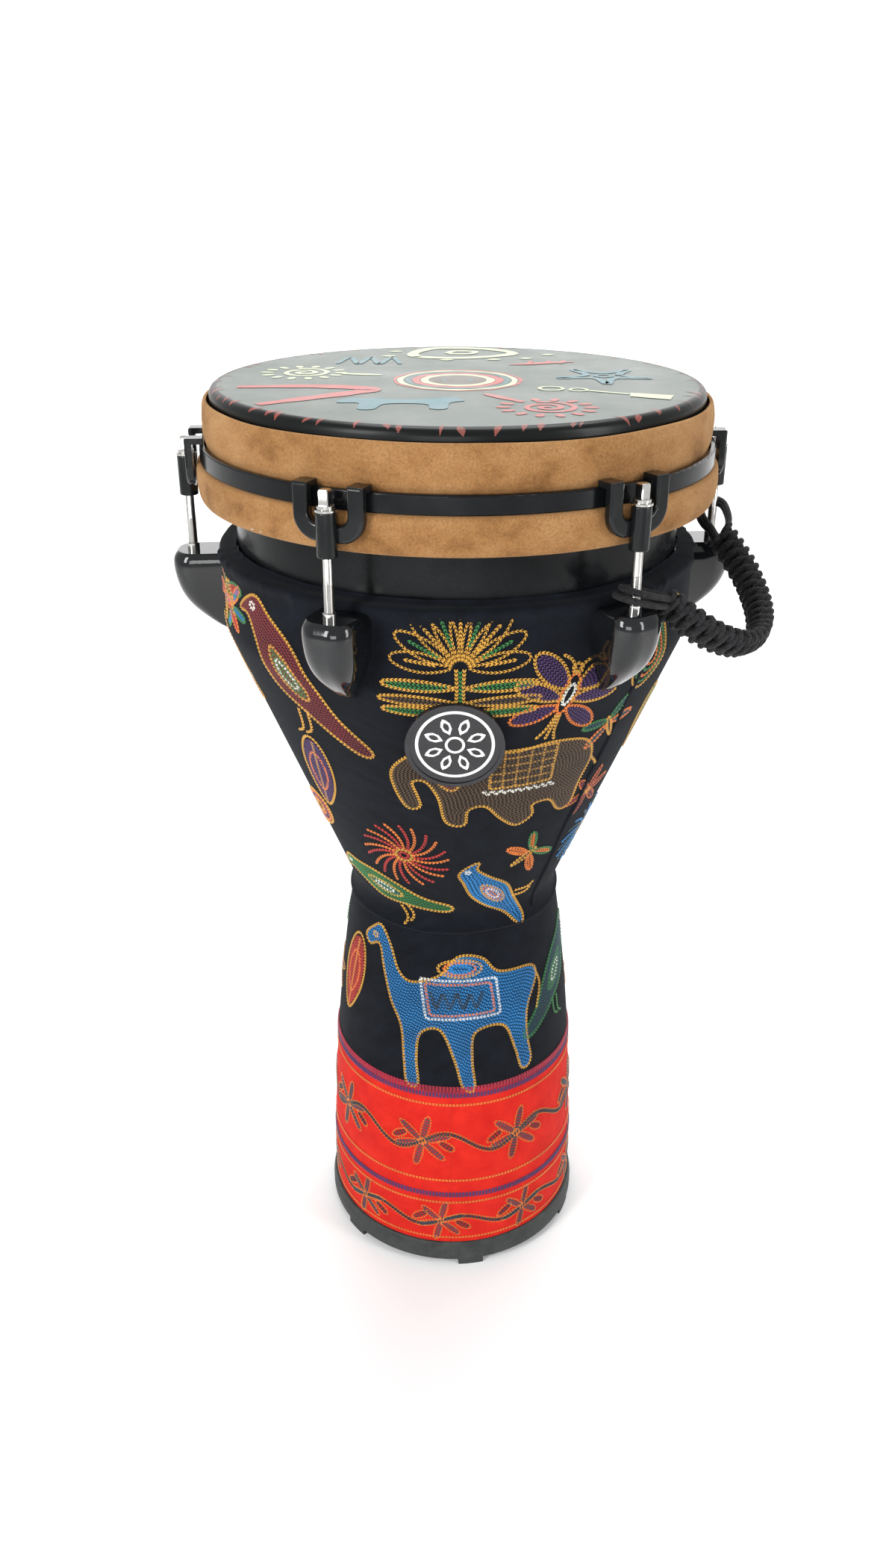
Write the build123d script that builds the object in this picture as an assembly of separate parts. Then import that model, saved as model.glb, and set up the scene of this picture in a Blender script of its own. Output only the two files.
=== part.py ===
from build123d import *
import math
import os

# A 12 inch key-tuned djembe: goblet shell with cloth skins, six tension rods, suede-wrapped head, cord handle.
# Millimetres, +Z up. The origin is on the floor, on the drum's axis. The badge faces -Y.
os.makedirs("parts", exist_ok=True)

# ---------------------------------------------------------------- heights above the floor
Z_RING = 5.0            # underside of the rubber ring, above the nubs
Z_SHELL_FOOT = 9.0      # lower end of the moulded shell, on the ring's ledge
Z_RING_TOP = 21.0
Z_BORDER_TOP = 164.0    # upper edge of the red border cloth
Z_BOWL_CLOTH = 288.0    # lower edge of the bowl cloth, just below the waist
Z_WAIST = 301.0
Z_BOWL = 498.0          # where the cone meets the upright wall
Z_STEP = 546.0          # ledge below the bare collar
Z_FILM = 645.0          # playing surface

# ---------------------------------------------------------------- radii
R_FOOT = 94.5           # outside of the stem cloth at the foot
R_WAIST = 72.2          # outside of the cloth at the waist
R_BOWL = 151.4          # outside of the bowl cloth on the upright wall
R_COLLAR = 141.0        # bare black collar above the ledge
R_HEAD = 152.4          # outside of the drumhead's skirt

# ---------------------------------------------------------------- walls and clearances
CLOTH = 0.8
SHELL_WALL = 6.0
COLLAR_WALL = 5.0
FILM = 0.4
SUEDE = 1.4
FREE = 0.5              # between the drumhead's skirt and the suede that slides over it
RUNNING = 0.05          # radial, thread in its nut and shank in its barrel
BOLT_CLEAR = 0.2        # radial, screw in a clearance hole

# ---------------------------------------------------------------- foot ring
RING_OUT_LOW = 98.0
RING_OUT_TOP = 96.6
RING_IN = 84.0
NUB_COUNT = 6
NUB_FIRST = 9.0         # degrees from the front
NUB_WIDTH = 19.0
NUB_DEPTH = 11.0

# ---------------------------------------------------------------- tuning hoops and suede
HOOP_IN = 157.1
HOOP_WALL = 3.5
HOOP_HEIGHT = 11.0
Z_HOOP = 601.5          # underside of the counterhoop, on the suede over the flesh hoop
FLESH_WALL = 7.4
FLESH_HEIGHT = 20.0
R_BAND = 163.3          # outside of the suede over the flesh hoop
R_SUEDE_TOP = 156.2     # outside of the suede above the counterhoop
Z_SUEDE_TOP = 638.0

# ---------------------------------------------------------------- tension hardware
ROD_COUNT = 6
ROD_FIRST = -24.0       # degrees from the front, positive towards +X
R_ROD = 169.5
ROD_THREAD = 6.0
ROD_SHANK = 5.4
ROD_FLANGE = 10.0
ROD_KEY = 6.0           # across the square head
KEY_HEIGHT = 8.6
FLANGE_HEIGHT = 2.0
WASHER = 12.4
WASHER_THICK = 1.5
BARREL = 11.6
BARREL_HEIGHT = 24.7
Z_BARREL = 577.6
Z_THREAD = 563.0        # thread runs from here down
ROD_REACH = 26.0        # thread below the top of the lug
CLAW_WIDTH = 42.6
CLAW_ARM = 9.5
CLAW_THICK = 4.6
CLAW_CAP = 3.6          # how far the hooks stand above the counterhoop
Z_CLAW = 585.0

# ---------------------------------------------------------------- lugs
Z_LUG = 542.7           # top face
NUT = 7.7
NUT_STANDS = 4.0
NUT_DEPTH = 24.0
LUG_SCREW = 5.0
LUG_SCREW_HEAD = 9.5
LUG_SCREW_HEAD_HEIGHT = 3.2
LUG_SCREW_DROPS = (13.0, 31.0)   # below the lug's top
LUG_SCREW_GRIP = 9.0    # thread inside the lug
LUG_WASHER = 13.0
LUG_WASHER_THICK = 1.2

# ---------------------------------------------------------------- badge
Z_BADGE = 461.0
BADGE_WIDTH = 59.0
BADGE_HEIGHT = 69.0
BADGE_STANDS = 4.2
BADGE_RIM = 2.6
BADGE_STEP = 1.2

# ---------------------------------------------------------------- cord handle
HANDLE_RODS = (1, 2)    # the rods that carry it
Z_HANDLE = (551.5, 561.0)        # where its loops lie on those rods
HANDLE_DROOP = 38.0     # degrees below level
BRAID_WIDTH = 20.0
BRAID_THICK = 11.0
STRAND = 3.8
LOOP_RADIUS = 7.4
# along the line between the two rods, and outwards from it
HANDLE_ROUTE = [
    (-66.0, 14.0), (-63.5, 28.0), (-56.0, 49.0), (-38.0, 66.0), (-12.0, 72.0),
    (15.0, 65.0), (37.0, 50.5), (53.0, 33.0), (63.0, 14.0),
]


def save(node, shape):
    """Write one named piece, or one group of like pieces, to its own file."""
    shape.label = node
    export_step(shape, f"parts/{node}.step")


def turned(*edges):
    """Solid of revolution about Z from edges drawn as (radius, height)."""
    face = make_face([Plane.XZ * edge for edge in edges])
    return revolve(face, Axis.Z)


def turned_outline(*corners):
    """Solid of revolution from a closed outline of (radius, height) or (radius, height, rounding) corners."""
    rounds = [c[2] if len(c) > 2 else 0 for c in corners]
    points = [(c[0], c[1]) for c in corners]
    return turned(FilletPolyline(*points, radius=rounds, close=True))


def around(angle):
    """Local frame at an angle from the front: X outwards, Y to the right seen from outside, Z up."""
    a = math.radians(angle)
    out = Vector(math.sin(a), -math.cos(a), 0)
    return Plane(origin=(0, 0, 0), x_dir=out, z_dir=(0, 0, 1))


def rod_angle(i):
    return ROD_FIRST + i * 360.0 / ROD_COUNT


def bowl_radius(z):
    """Outside of the bowl cloth on the cone."""
    return R_WAIST + (z - Z_WAIST) * (R_BOWL - R_WAIST) / (Z_BOWL - Z_WAIST)


def goblet_edges(inset, z_low, z_high):
    """Outer line of stem, cone and upright wall, moved in by inset, as edges from foot to top."""
    foot = (R_FOOT - inset, z_low)
    bend = (R_FOOT - inset, Z_RING_TOP)
    waist = (R_WAIST - inset, Z_WAIST)
    edges = [Line(foot, bend), TangentArc(bend, waist, tangent=(0, 1))]
    edges.append(Line(waist, (R_BOWL - inset, Z_BOWL)))
    edges.append(Line((R_BOWL - inset, Z_BOWL), (R_BOWL - inset, z_high)))
    return edges


def goblet_body(inset, z_low, z_high):
    """Full solid inside the goblet's outer line moved in by inset."""
    edges = goblet_edges(inset, z_low, z_high)
    edges.append(Polyline((R_BOWL - inset, z_high), (0, z_high), (0, z_low), (R_FOOT - inset, z_low)))
    return turned(*edges)


def slab(z_low, z_high):
    """Everything between two heights, wider than the drum."""
    return Pos(0, 0, (z_low + z_high) / 2) * Box(600, 600, z_high - z_low)


# ---------------------------------------------------------------- shell, cloth and foot
def make_shell():
    """Moulded goblet shell with its ledge, collar and flared bearing edge, drilled for the lug screws."""
    body = goblet_body(CLOTH, Z_SHELL_FOOT, Z_STEP)
    hollow = goblet_body(CLOTH + SHELL_WALL, Z_SHELL_FOOT - 1, Z_STEP - SHELL_WALL)
    edge_top = Z_FILM - FILM
    collar_in = R_COLLAR - COLLAR_WALL
    flare_out = R_HEAD - FILM - 1.6
    collar = turned(
        Polyline((collar_in, Z_STEP - SHELL_WALL), (R_COLLAR, Z_STEP - SHELL_WALL),
                 (R_COLLAR, Z_HOOP), (flare_out, edge_top - 13)),
        TangentArc((flare_out, edge_top - 13), (flare_out - 3, edge_top), tangent=(0, 1)),
        Polyline((flare_out - 3, edge_top), (flare_out - 5.5, edge_top), (flare_out - 8, edge_top - 13),
                 (collar_in, Z_HOOP - 4), (collar_in, Z_STEP - SHELL_WALL)),
    )
    bore = Pos(0, 0, Z_STEP - 30) * Cylinder(collar_in, 60)
    shell = body - hollow - bore + collar
    return shell - screw_holes(BOLT_CLEAR)


def cloth_skin(z_low, z_high):
    """Cloth of one thickness over the goblet between two heights."""
    outer = goblet_body(0, Z_SHELL_FOOT, Z_STEP) & slab(z_low, z_high)
    return outer - goblet_body(CLOTH, Z_SHELL_FOOT - 1, Z_STEP + 1)


def make_bowl_cloth():
    """Cloth over the cone and the upright wall, turned in over the ledge as a rounded hem."""
    hem = turned_outline(
        (R_BOWL - CLOTH, Z_STEP - CLOTH), (R_BOWL, Z_STEP - CLOTH), (R_BOWL, Z_STEP + CLOTH, 0.7),
        (R_COLLAR + 3, Z_STEP + CLOTH), (R_COLLAR + 3, Z_STEP), (R_BOWL - CLOTH, Z_STEP),
    )
    wall = cloth_skin(Z_BOWL_CLOTH, Z_STEP - CLOTH)
    return wall + hem - screw_holes(BOLT_CLEAR)


def make_stem_cloth():
    return cloth_skin(Z_BORDER_TOP, Z_BOWL_CLOTH)


def make_border_cloth():
    """Red border cloth, its lower edge held between the shell and the rubber ring."""
    return cloth_skin(Z_SHELL_FOOT, Z_BORDER_TOP)


def make_foot_ring():
    """Rubber ring that cups the end of the stem, with nubs under it."""
    ring = turned_outline(
        (RING_IN, Z_RING, 1), (RING_OUT_LOW, Z_RING, 1.5), (RING_OUT_LOW, Z_RING_TOP - 8, 1),
        (RING_OUT_TOP, Z_RING_TOP, 1.5), (R_FOOT, Z_RING_TOP), (R_FOOT, Z_SHELL_FOOT), (RING_IN, Z_SHELL_FOOT),
    )
    nub_in = RING_OUT_LOW - NUB_DEPTH
    rim = Pos(0, 0, Z_RING) * Cylinder(RING_OUT_LOW - 0.5, 2 * Z_RING)
    for i in range(NUB_COUNT):
        block = Pos(nub_in + NUB_DEPTH / 2, 0, Z_RING / 2 + 1) * Box(NUB_DEPTH + 4, NUB_WIDTH, Z_RING + 2)
        nub = around(NUB_FIRST + i * 360.0 / NUB_COUNT) * block
        ring += nub & rim
    return ring


# ---------------------------------------------------------------- head and hoops
def make_drumhead():
    """Moulded film: flat playing surface, rounded shoulder and short skirt over the bearing edge."""
    skirt_end = Z_HOOP + 4.5
    shoulder = 5.0
    return turned_outline(
        (0, Z_FILM), (R_HEAD, Z_FILM, shoulder), (R_HEAD, skirt_end),
        (R_HEAD - FILM, skirt_end), (R_HEAD - FILM, Z_FILM - FILM, shoulder - FILM), (0, Z_FILM - FILM),
    )


def make_flesh_hoop():
    """Metal hoop that the drumhead's rim is set in, inside the suede."""
    out = R_BAND - SUEDE
    top = Z_HOOP - SUEDE
    return turned_outline(
        (out - FLESH_WALL, top, 1), (out, top, 2), (out, top - FLESH_HEIGHT, 2), (out - FLESH_WALL, top - FLESH_HEIGHT, 1),
    )


def make_suede_wrap():
    """Suede collar: down the head's skirt, under the counterhoop, round the flesh hoop."""
    inner = R_HEAD + FREE
    flesh_out = R_BAND - SUEDE
    flesh_in = flesh_out - FLESH_WALL
    low = Z_HOOP - 2 * SUEDE - FLESH_HEIGHT
    wrap = turned_outline(
        (inner, Z_SUEDE_TOP), (R_SUEDE_TOP, Z_SUEDE_TOP, 2.2), (R_SUEDE_TOP, Z_HOOP), (R_BAND, Z_HOOP, 3),
        (R_BAND, low, 3), (flesh_in, low), (flesh_in, Z_HOOP - SUEDE), (inner, Z_HOOP - SUEDE),
    )
    return wrap - make_flesh_hoop()


def make_counterhoop():
    """Flat steel band that presses the flesh hoop down."""
    out = HOOP_IN + HOOP_WALL
    top = Z_HOOP + HOOP_HEIGHT
    return turned_outline((HOOP_IN, Z_HOOP, 0.4), (out, Z_HOOP, 0.6), (out, top, 1.2), (HOOP_IN, top, 0.8))


# ---------------------------------------------------------------- claws and rods
def make_claw():
    """Steel claw at its own angle: a U of two hooks over the hoop, with the rod's barrel across its middle."""
    front = R_ROD - 1.0
    half = CLAW_WIDTH / 2
    top = Z_HOOP + HOOP_HEIGHT + CLAW_CAP
    inner_half = half - CLAW_ARM
    outline = FilletPolyline(
        (-half, top), (-half, Z_CLAW), (half, Z_CLAW), (half, top), (inner_half, top),
        (inner_half, Z_CLAW + CLAW_ARM), (-inner_half, Z_CLAW + CLAW_ARM), (-inner_half, top),
        radius=[0, 14, 14, 0, 0, 6, 6, 0], close=True,
    )
    face = Plane(origin=(front - CLAW_THICK, 0, 0), x_dir=(0, 1, 0), z_dir=(1, 0, 0)) * make_face(outline)
    claw = extrude(face, CLAW_THICK, dir=(1, 0, 0))
    cap_in = HOOP_IN + 0.2
    for side in (-1, 1):
        cap = Box(front - cap_in, CLAW_ARM, CLAW_CAP)
        claw += Pos((front + cap_in) / 2, side * (half - CLAW_ARM / 2), top - CLAW_CAP / 2) * cap
    long_edges = claw.edges().filter_by(lambda e: e.center().X > front - 0.1 and e.length > 4)
    claw = fillet(long_edges, 1.7)
    barrel = Pos(R_ROD, 0, Z_BARREL + BARREL_HEIGHT / 2) * Cylinder(BARREL / 2, BARREL_HEIGHT)
    claw += fillet(barrel.edges().filter_by(GeomType.CIRCLE), 0.8)
    bore = Pos(R_ROD, 0, Z_BARREL + BARREL_HEIGHT / 2) * Cylinder(ROD_THREAD / 2 + 2 * BOLT_CLEAR, 3 * BARREL_HEIGHT)
    return claw - bore


def make_rod():
    """Tension rod on its own axis: square head, flange, plain shank, thread."""
    seat = Z_BARREL + BARREL_HEIGHT + WASHER_THICK
    end = Z_LUG - ROD_REACH
    key = Pos(0, 0, seat + FLANGE_HEIGHT + KEY_HEIGHT / 2) * Box(ROD_KEY, ROD_KEY, KEY_HEIGHT)
    key = chamfer(key.edges().group_by(Axis.Z)[-1], 0.6)
    flange = Pos(0, 0, seat + FLANGE_HEIGHT / 2) * Cylinder(ROD_FLANGE / 2, FLANGE_HEIGHT)
    flange = fillet(flange.edges().group_by(Axis.Z)[-1], 0.6)
    shank = Pos(0, 0, (seat + Z_THREAD) / 2) * Cylinder(ROD_SHANK / 2, seat - Z_THREAD)
    thread = Pos(0, 0, (Z_THREAD + end) / 2) * Cylinder(ROD_THREAD / 2, Z_THREAD - end)
    thread = chamfer(thread.edges().group_by(Axis.Z)[0], 0.8)
    return key + flange + shank + thread


def make_washer():
    ring = Cylinder(WASHER / 2, WASHER_THICK) - Cylinder(ROD_THREAD / 2 + 2 * BOLT_CLEAR, 2 * WASHER_THICK)
    ring = chamfer(ring.edges().filter_by(GeomType.CIRCLE).sort_by(SortBy.RADIUS)[-2:], 0.3)
    return Pos(R_ROD, 0, Z_BARREL + BARREL_HEIGHT + WASHER_THICK / 2) * ring


# ---------------------------------------------------------------- lugs
def lug_section(drop, reach, half_width):
    """Level section of the lug: a rounded block from inside the wall out to a reach beyond the wall."""
    depth = 12.0
    block = RectangleRounded(reach + depth, 2 * half_width, 0.78 * min(half_width, (reach + depth) / 2))
    return Pos(R_BOWL + (reach - depth) / 2, 0, Z_LUG - drop) * block


def make_lug():
    """Cast lug at its own angle: a teardrop from a flat top to a small nose on the cone."""
    sections = [
        lug_section(0, 27.5, 13.6), lug_section(2.5, 30.0, 15.3), lug_section(10, 31.2, 16.0),
        lug_section(22, 29.0, 15.4), lug_section(34, 23.0, 12.6), lug_section(43, 14.5, 8.6),
        lug_section(50, 6.0, 5.4), lug_section(53, 1.0, 4.0),
    ]
    lug = loft(sections)
    lug -= goblet_body(0, Z_SHELL_FOOT, Z_STEP + 5)
    lug -= Pos(R_ROD, 0, Z_LUG - NUT_DEPTH / 2 - 3) * Cylinder(NUT / 2, NUT_DEPTH + 6 + 1)
    for drop in LUG_SCREW_DROPS:
        length = LUG_SCREW_GRIP + 1.0
        hole = Pos(R_BOWL + length / 2 - 1, 0, Z_LUG - drop) * Rot(0, 90, 0) * Cylinder(LUG_SCREW / 2, length + 2)
        lug -= hole
    return lug


def make_nut():
    """Threaded sleeve set in the lug, its plain end standing above the lug."""
    height = NUT_DEPTH + NUT_STANDS
    sleeve = Pos(R_ROD, 0, Z_LUG + NUT_STANDS - height / 2) * Cylinder(NUT / 2, height)
    sleeve = chamfer(sleeve.edges().group_by(Axis.Z)[-1], 0.4)
    bore = Pos(R_ROD, 0, Z_LUG) * Cylinder(ROD_THREAD / 2 + RUNNING, 3 * height)
    return sleeve - bore


def screw_seat():
    """How far out a lug screw's washer lies, flat against the curved inside of the shell."""
    wall = R_BOWL - CLOTH - SHELL_WALL
    return math.sqrt(wall ** 2 - (LUG_WASHER / 2) ** 2)


def screw_holes(clearance):
    """All lug screw holes through shell and cloth."""
    holes = []
    for i in range(ROD_COUNT):
        for drop in LUG_SCREW_DROPS:
            drill = Pos(R_BOWL, 0, Z_LUG - drop) * Rot(0, 90, 0) * Cylinder(LUG_SCREW / 2 + clearance, 40)
            holes.append(around(rod_angle(i)) * drill)
    return Compound(holes)


def make_lug_screw(drop):
    """Pan-head screw from inside the shell into the lug."""
    head_at = screw_seat() - LUG_WASHER_THICK
    end = R_BOWL + LUG_SCREW_GRIP
    shank = Pos((head_at + end) / 2, 0, 0) * Rot(0, 90, 0) * Cylinder(LUG_SCREW / 2, end - head_at)
    head = Pos(head_at - LUG_SCREW_HEAD_HEIGHT / 2, 0, 0) * Rot(0, 90, 0) * Cylinder(
        LUG_SCREW_HEAD / 2, LUG_SCREW_HEAD_HEIGHT)
    head = fillet(head.edges().group_by(Axis.X)[0], 1.2)
    slot = Pos(head_at - LUG_SCREW_HEAD_HEIGHT, 0, 0)
    cross = slot * Box(3, 1.1, 5) + slot * Box(3, 5, 1.1)
    return Pos(0, 0, Z_LUG - drop) * (shank + head - cross)


def make_lug_washer(drop):
    ring = Cylinder(LUG_WASHER / 2, LUG_WASHER_THICK) - Cylinder(LUG_SCREW / 2 + BOLT_CLEAR, 2 * LUG_WASHER_THICK)
    return Pos(screw_seat() - LUG_WASHER_THICK / 2, 0, Z_LUG - drop) * Rot(0, 90, 0) * ring


# ---------------------------------------------------------------- badge
def badge_plane():
    """Plane that touches the cone at the badge's middle, Z outwards, Y up the slope."""
    slope = math.atan2(R_BOWL - R_WAIST, Z_BOWL - Z_WAIST)
    normal = Vector(0, -math.cos(slope), -math.sin(slope))
    return Plane(origin=(0, -bowl_radius(Z_BADGE), Z_BADGE), x_dir=(1, 0, 0), z_dir=normal)


def badge_oval(inset, low, high):
    oval = Ellipse(BADGE_WIDTH / 2 - inset, BADGE_HEIGHT / 2 - inset)
    return badge_plane() * extrude(Pos(0, 0, low) * oval, high - low)


def make_badge_base():
    """Moulded base whose back follows the cone, recessed for the face."""
    base = badge_oval(0.8, -8, BADGE_STANDS - BADGE_STEP) - goblet_body(0, Z_SHELL_FOOT, Z_STEP)
    return base - badge_oval(BADGE_RIM, BADGE_STANDS - 2 * BADGE_STEP, BADGE_STANDS)


def make_badge_face():
    """Printed plate in the base's recess."""
    return badge_oval(BADGE_RIM, BADGE_STANDS - 2 * BADGE_STEP, BADGE_STANDS - 0.6)


def make_badge_rim():
    """Bright rim around the face."""
    rim = badge_oval(0, BADGE_STANDS - BADGE_STEP, BADGE_STANDS)
    return rim - badge_oval(BADGE_RIM, BADGE_STANDS - BADGE_STEP - 1, BADGE_STANDS + 1)


# ---------------------------------------------------------------- handle
def handle_anchors():
    """Where the handle's two loops are centred on their rods."""
    spots = zip(HANDLE_RODS, Z_HANDLE)
    return [around(rod_angle(i)).x_dir * R_ROD + Vector(0, 0, z) for i, z in spots]


def handle_plane():
    """Plane the cord handle lies in: X from the first loop to the second, Y outwards and down."""
    first, second = handle_anchors()
    along = (second - first).normalized()
    middle = (first + second) / 2
    level = Vector(middle.X, middle.Y, 0).normalized()
    level = (level - along * level.dot(along)).normalized()
    above = level.cross(along)
    droop = math.radians(HANDLE_DROOP)
    out = level * math.cos(droop) - above * math.sin(droop)
    return Plane(origin=middle, x_dir=along, z_dir=along.cross(out))


def bend_radii(points):
    """Radius at each inner corner: 0.45 of the shorter run over the tangent of half the turn."""
    radii = []
    for a, b, c in zip(points, points[1:], points[2:]):
        before = Vector(*b) - Vector(*a)
        after = Vector(*c) - Vector(*b)
        half_turn = math.radians(before.get_angle(after)) / 2
        radii.append(0.45 * min(before.length, after.length) / math.tan(half_turn))
    return radii


def make_braid():
    """Flat braided strap along the handle's route."""
    radii = bend_radii(HANDLE_ROUTE)
    print("handle bend radii", [round(r, 1) for r in radii])
    path = handle_plane() * FilletPolyline(*HANDLE_ROUTE, radius=radii)
    start = Plane(origin=path @ 0, x_dir=handle_plane().z_dir, z_dir=path % 0)
    braid = sweep(start * Ellipse(BRAID_WIDTH / 2, BRAID_THICK / 2), path=path)
    section = math.pi * BRAID_WIDTH * BRAID_THICK / 4
    print("handle length", round(path.length, 1), "volume over section", round(braid.volume / section, 1))
    return braid


def make_loop(anchor, end, braid):
    """Two cords, one above the other, round a rod and into the end of the braid."""
    run = handle_plane().from_local_coords(Vector(*end)) - anchor
    side = Vector(0, 0, 1).cross(run).normalized()
    spread = STRAND / 2 + 0.2
    reach = run.length + BRAID_THICK / 2
    far = math.hypot(reach, spread)
    touch = math.degrees(math.atan2(spread, reach) + math.acos(LOOP_RADIUS / far))
    rim = [Vector(LOOP_RADIUS, 0).rotate(Axis.Z, s * touch) for s in (1, -1)]
    legs = [Line((reach, spread), rim[0]), Line(rim[1], (reach, -spread))]
    bend = ThreePointArc(rim[0], (-LOOP_RADIUS, 0), rim[1])
    path = Wire([legs[0], bend, legs[1]])
    start = Plane(origin=path @ 0, z_dir=path % 0)
    cord = sweep(start * Circle(STRAND / 2), path=path)
    place = Plane(origin=anchor, x_dir=run, z_dir=run.cross(side))
    offset = STRAND / 2 + 0.05
    pair = [place * Pos(0, 0, s * offset) * cord - braid for s in (1, -1)]
    return Compound(pair)


def main():
    save("shell", make_shell())
    save("bowl_cloth", make_bowl_cloth())
    save("stem_cloth", make_stem_cloth())
    save("border_cloth", make_border_cloth())
    save("foot_ring", make_foot_ring())
    save("drumhead", make_drumhead())
    save("flesh_hoop", make_flesh_hoop())
    save("suede_wrap", make_suede_wrap())
    save("counterhoop", make_counterhoop())
    claw, rod, washer, lug, nut = make_claw(), make_rod(), make_washer(), make_lug(), make_nut()
    angles = [rod_angle(i) for i in range(ROD_COUNT)]
    for i, angle in enumerate(angles):
        save(f"claw_{i + 1}", around(angle) * claw)
        save(f"tension_rod_{i + 1}", around(angle) * Pos(R_ROD, 0, 0) * rod)
        save(f"lug_{i + 1}", around(angle) * lug)
    save("rod_washers", Compound([around(a) * washer for a in angles]))
    save("lug_nuts", Compound([around(a) * nut for a in angles]))
    save("lug_screws", Compound([around(a) * make_lug_screw(d) for a in angles for d in LUG_SCREW_DROPS]))
    save("lug_screw_washers", Compound([around(a) * make_lug_washer(d) for a in angles for d in LUG_SCREW_DROPS]))
    save("badge_base", make_badge_base())
    save("badge_face", make_badge_face())
    save("badge_rim", make_badge_rim())
    braid = make_braid()
    save("handle_braid", braid)
    front, back = handle_anchors()
    save("handle_loop_front", make_loop(front, HANDLE_ROUTE[0], braid))
    save("handle_loop_back", make_loop(back, HANDLE_ROUTE[-1], braid))


main()
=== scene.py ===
import math
import random

import bpy
import numpy as np
from mathutils import Matrix, Vector


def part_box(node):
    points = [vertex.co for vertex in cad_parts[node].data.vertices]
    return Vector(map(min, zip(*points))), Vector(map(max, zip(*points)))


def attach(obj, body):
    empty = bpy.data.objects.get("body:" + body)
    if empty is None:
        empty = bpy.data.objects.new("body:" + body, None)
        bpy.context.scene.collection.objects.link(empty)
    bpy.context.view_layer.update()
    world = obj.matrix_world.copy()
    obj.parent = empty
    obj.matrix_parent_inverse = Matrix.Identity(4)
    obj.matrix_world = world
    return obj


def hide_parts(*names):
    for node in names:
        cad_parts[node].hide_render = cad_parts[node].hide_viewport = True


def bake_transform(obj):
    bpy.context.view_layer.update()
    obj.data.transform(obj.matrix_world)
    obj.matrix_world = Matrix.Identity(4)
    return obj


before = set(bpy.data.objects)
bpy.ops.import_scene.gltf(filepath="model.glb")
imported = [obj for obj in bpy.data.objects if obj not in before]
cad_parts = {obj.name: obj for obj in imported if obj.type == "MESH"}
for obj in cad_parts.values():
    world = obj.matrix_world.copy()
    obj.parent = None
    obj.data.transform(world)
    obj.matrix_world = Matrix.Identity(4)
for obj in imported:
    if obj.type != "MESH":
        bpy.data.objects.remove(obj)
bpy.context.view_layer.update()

# ---------------------------------------------------------------- sizes in metres, angles in degrees
Z_RING_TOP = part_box("foot_ring")[1][2]
Z_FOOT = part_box("border_cloth")[0][2]
Z_BORDER_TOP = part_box("border_cloth")[1][2]
Z_BOWL_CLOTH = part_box("bowl_cloth")[0][2]
Z_WAIST = 0.301
Z_BOWL = 0.498
Z_STEP = 0.546
Z_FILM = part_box("drumhead")[1][2]
R_FOOT = 0.0945
R_WAIST = 0.0722
R_BOWL = 0.1514
R_COLLAR = 0.141
R_HEAD = 0.1524
R_RODS = 0.1695
R_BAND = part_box("suede_wrap")[1][0]
R_SUEDE_TOP = 0.1562
Z_SHOULDER_LOW = 0.6365
ROD_ANGLES = [-24.0 + 60.0 * i for i in range(6)]
CAMERA_DISTANCE = 0.825
CAMERA_HEIGHT = 0.775
CAMERA_PITCH = 26.37
CAMERA_YAW = 0.43
CAMERA_ROLL = 0.22
LENS_MM = 29.57
CORNER_EASE = 0.005
CLOTH_FACE = 0.0003
BOWL_CLOTH_FACE = 0.0006
TURNED_EDGE = 0.0012
TURNED_EDGE_FADE = 0.004
SHOULDER = 0.005
PRINT_LIFT = 0.00012
PRINT_STEP = 0.000003


# ---------------------------------------------------------------- materials
def new_material(name):
    material = bpy.data.materials.new(name)
    material.use_nodes = True
    tree = material.node_tree
    return material, tree, tree.nodes["Principled BSDF"]


def set_inputs(shader, **values):
    """Sets shader sockets by name, with underscores for spaces."""
    for key, value in values.items():
        shader.inputs[key.replace("_", " ")].default_value = value


def rgb(colour):
    return (*colour, 1.0)


def noise_node(tree, scale, detail=4.0, rough=0.6, coords="Object", stretch=(1, 1, 1)):
    """Noise texture on object or UV coordinates."""
    place = tree.nodes.new("ShaderNodeTexCoord")
    mapping = tree.nodes.new("ShaderNodeMapping")
    mapping.inputs["Scale"].default_value = stretch
    noise = tree.nodes.new("ShaderNodeTexNoise")
    noise.inputs["Scale"].default_value = scale
    noise.inputs["Detail"].default_value = detail
    noise.inputs["Roughness"].default_value = rough
    tree.links.new(place.outputs[coords], mapping.inputs["Vector"])
    tree.links.new(mapping.outputs["Vector"], noise.inputs["Vector"])
    return noise


def ramp_node(tree, source, stops):
    """Colour ramp over a 0 to 1 value; stops are (position, colour)."""
    ramp = tree.nodes.new("ShaderNodeValToRGB")
    elements = ramp.color_ramp.elements
    while len(elements) < len(stops):
        elements.new(0.5)
    for element, (position, colour) in zip(elements, stops):
        element.position = position
        element.color = rgb(colour)
    tree.links.new(source, ramp.inputs["Fac"])
    return ramp


def bump_node(tree, shader, height, strength, distance, below=None):
    """Relief on the shader's normal, on top of another relief when one is given."""
    bump = tree.nodes.new("ShaderNodeBump")
    bump.inputs["Strength"].default_value = strength
    bump.inputs["Distance"].default_value = distance
    tree.links.new(height, bump.inputs["Height"])
    if below is not None:
        tree.links.new(below.outputs["Normal"], bump.inputs["Normal"])
    tree.links.new(bump.outputs["Normal"], shader.inputs["Normal"])
    return bump


def range_node(tree, source, low, high):
    """Maps a 0.3 to 0.7 noise value to low..high."""
    node = tree.nodes.new("ShaderNodeMapRange")
    for key, value in (("From Min", 0.3), ("From Max", 0.7), ("To Min", low), ("To Max", high)):
        node.inputs[key].default_value = value
    tree.links.new(source, node.inputs["Value"])
    return node


def colour_by(tree, shader, source, stops):
    """Base colour from a ramp over a texture's value."""
    tint = ramp_node(tree, source.outputs["Fac"], stops)
    tree.links.new(tint.outputs["Color"], shader.inputs["Base Color"])


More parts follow.
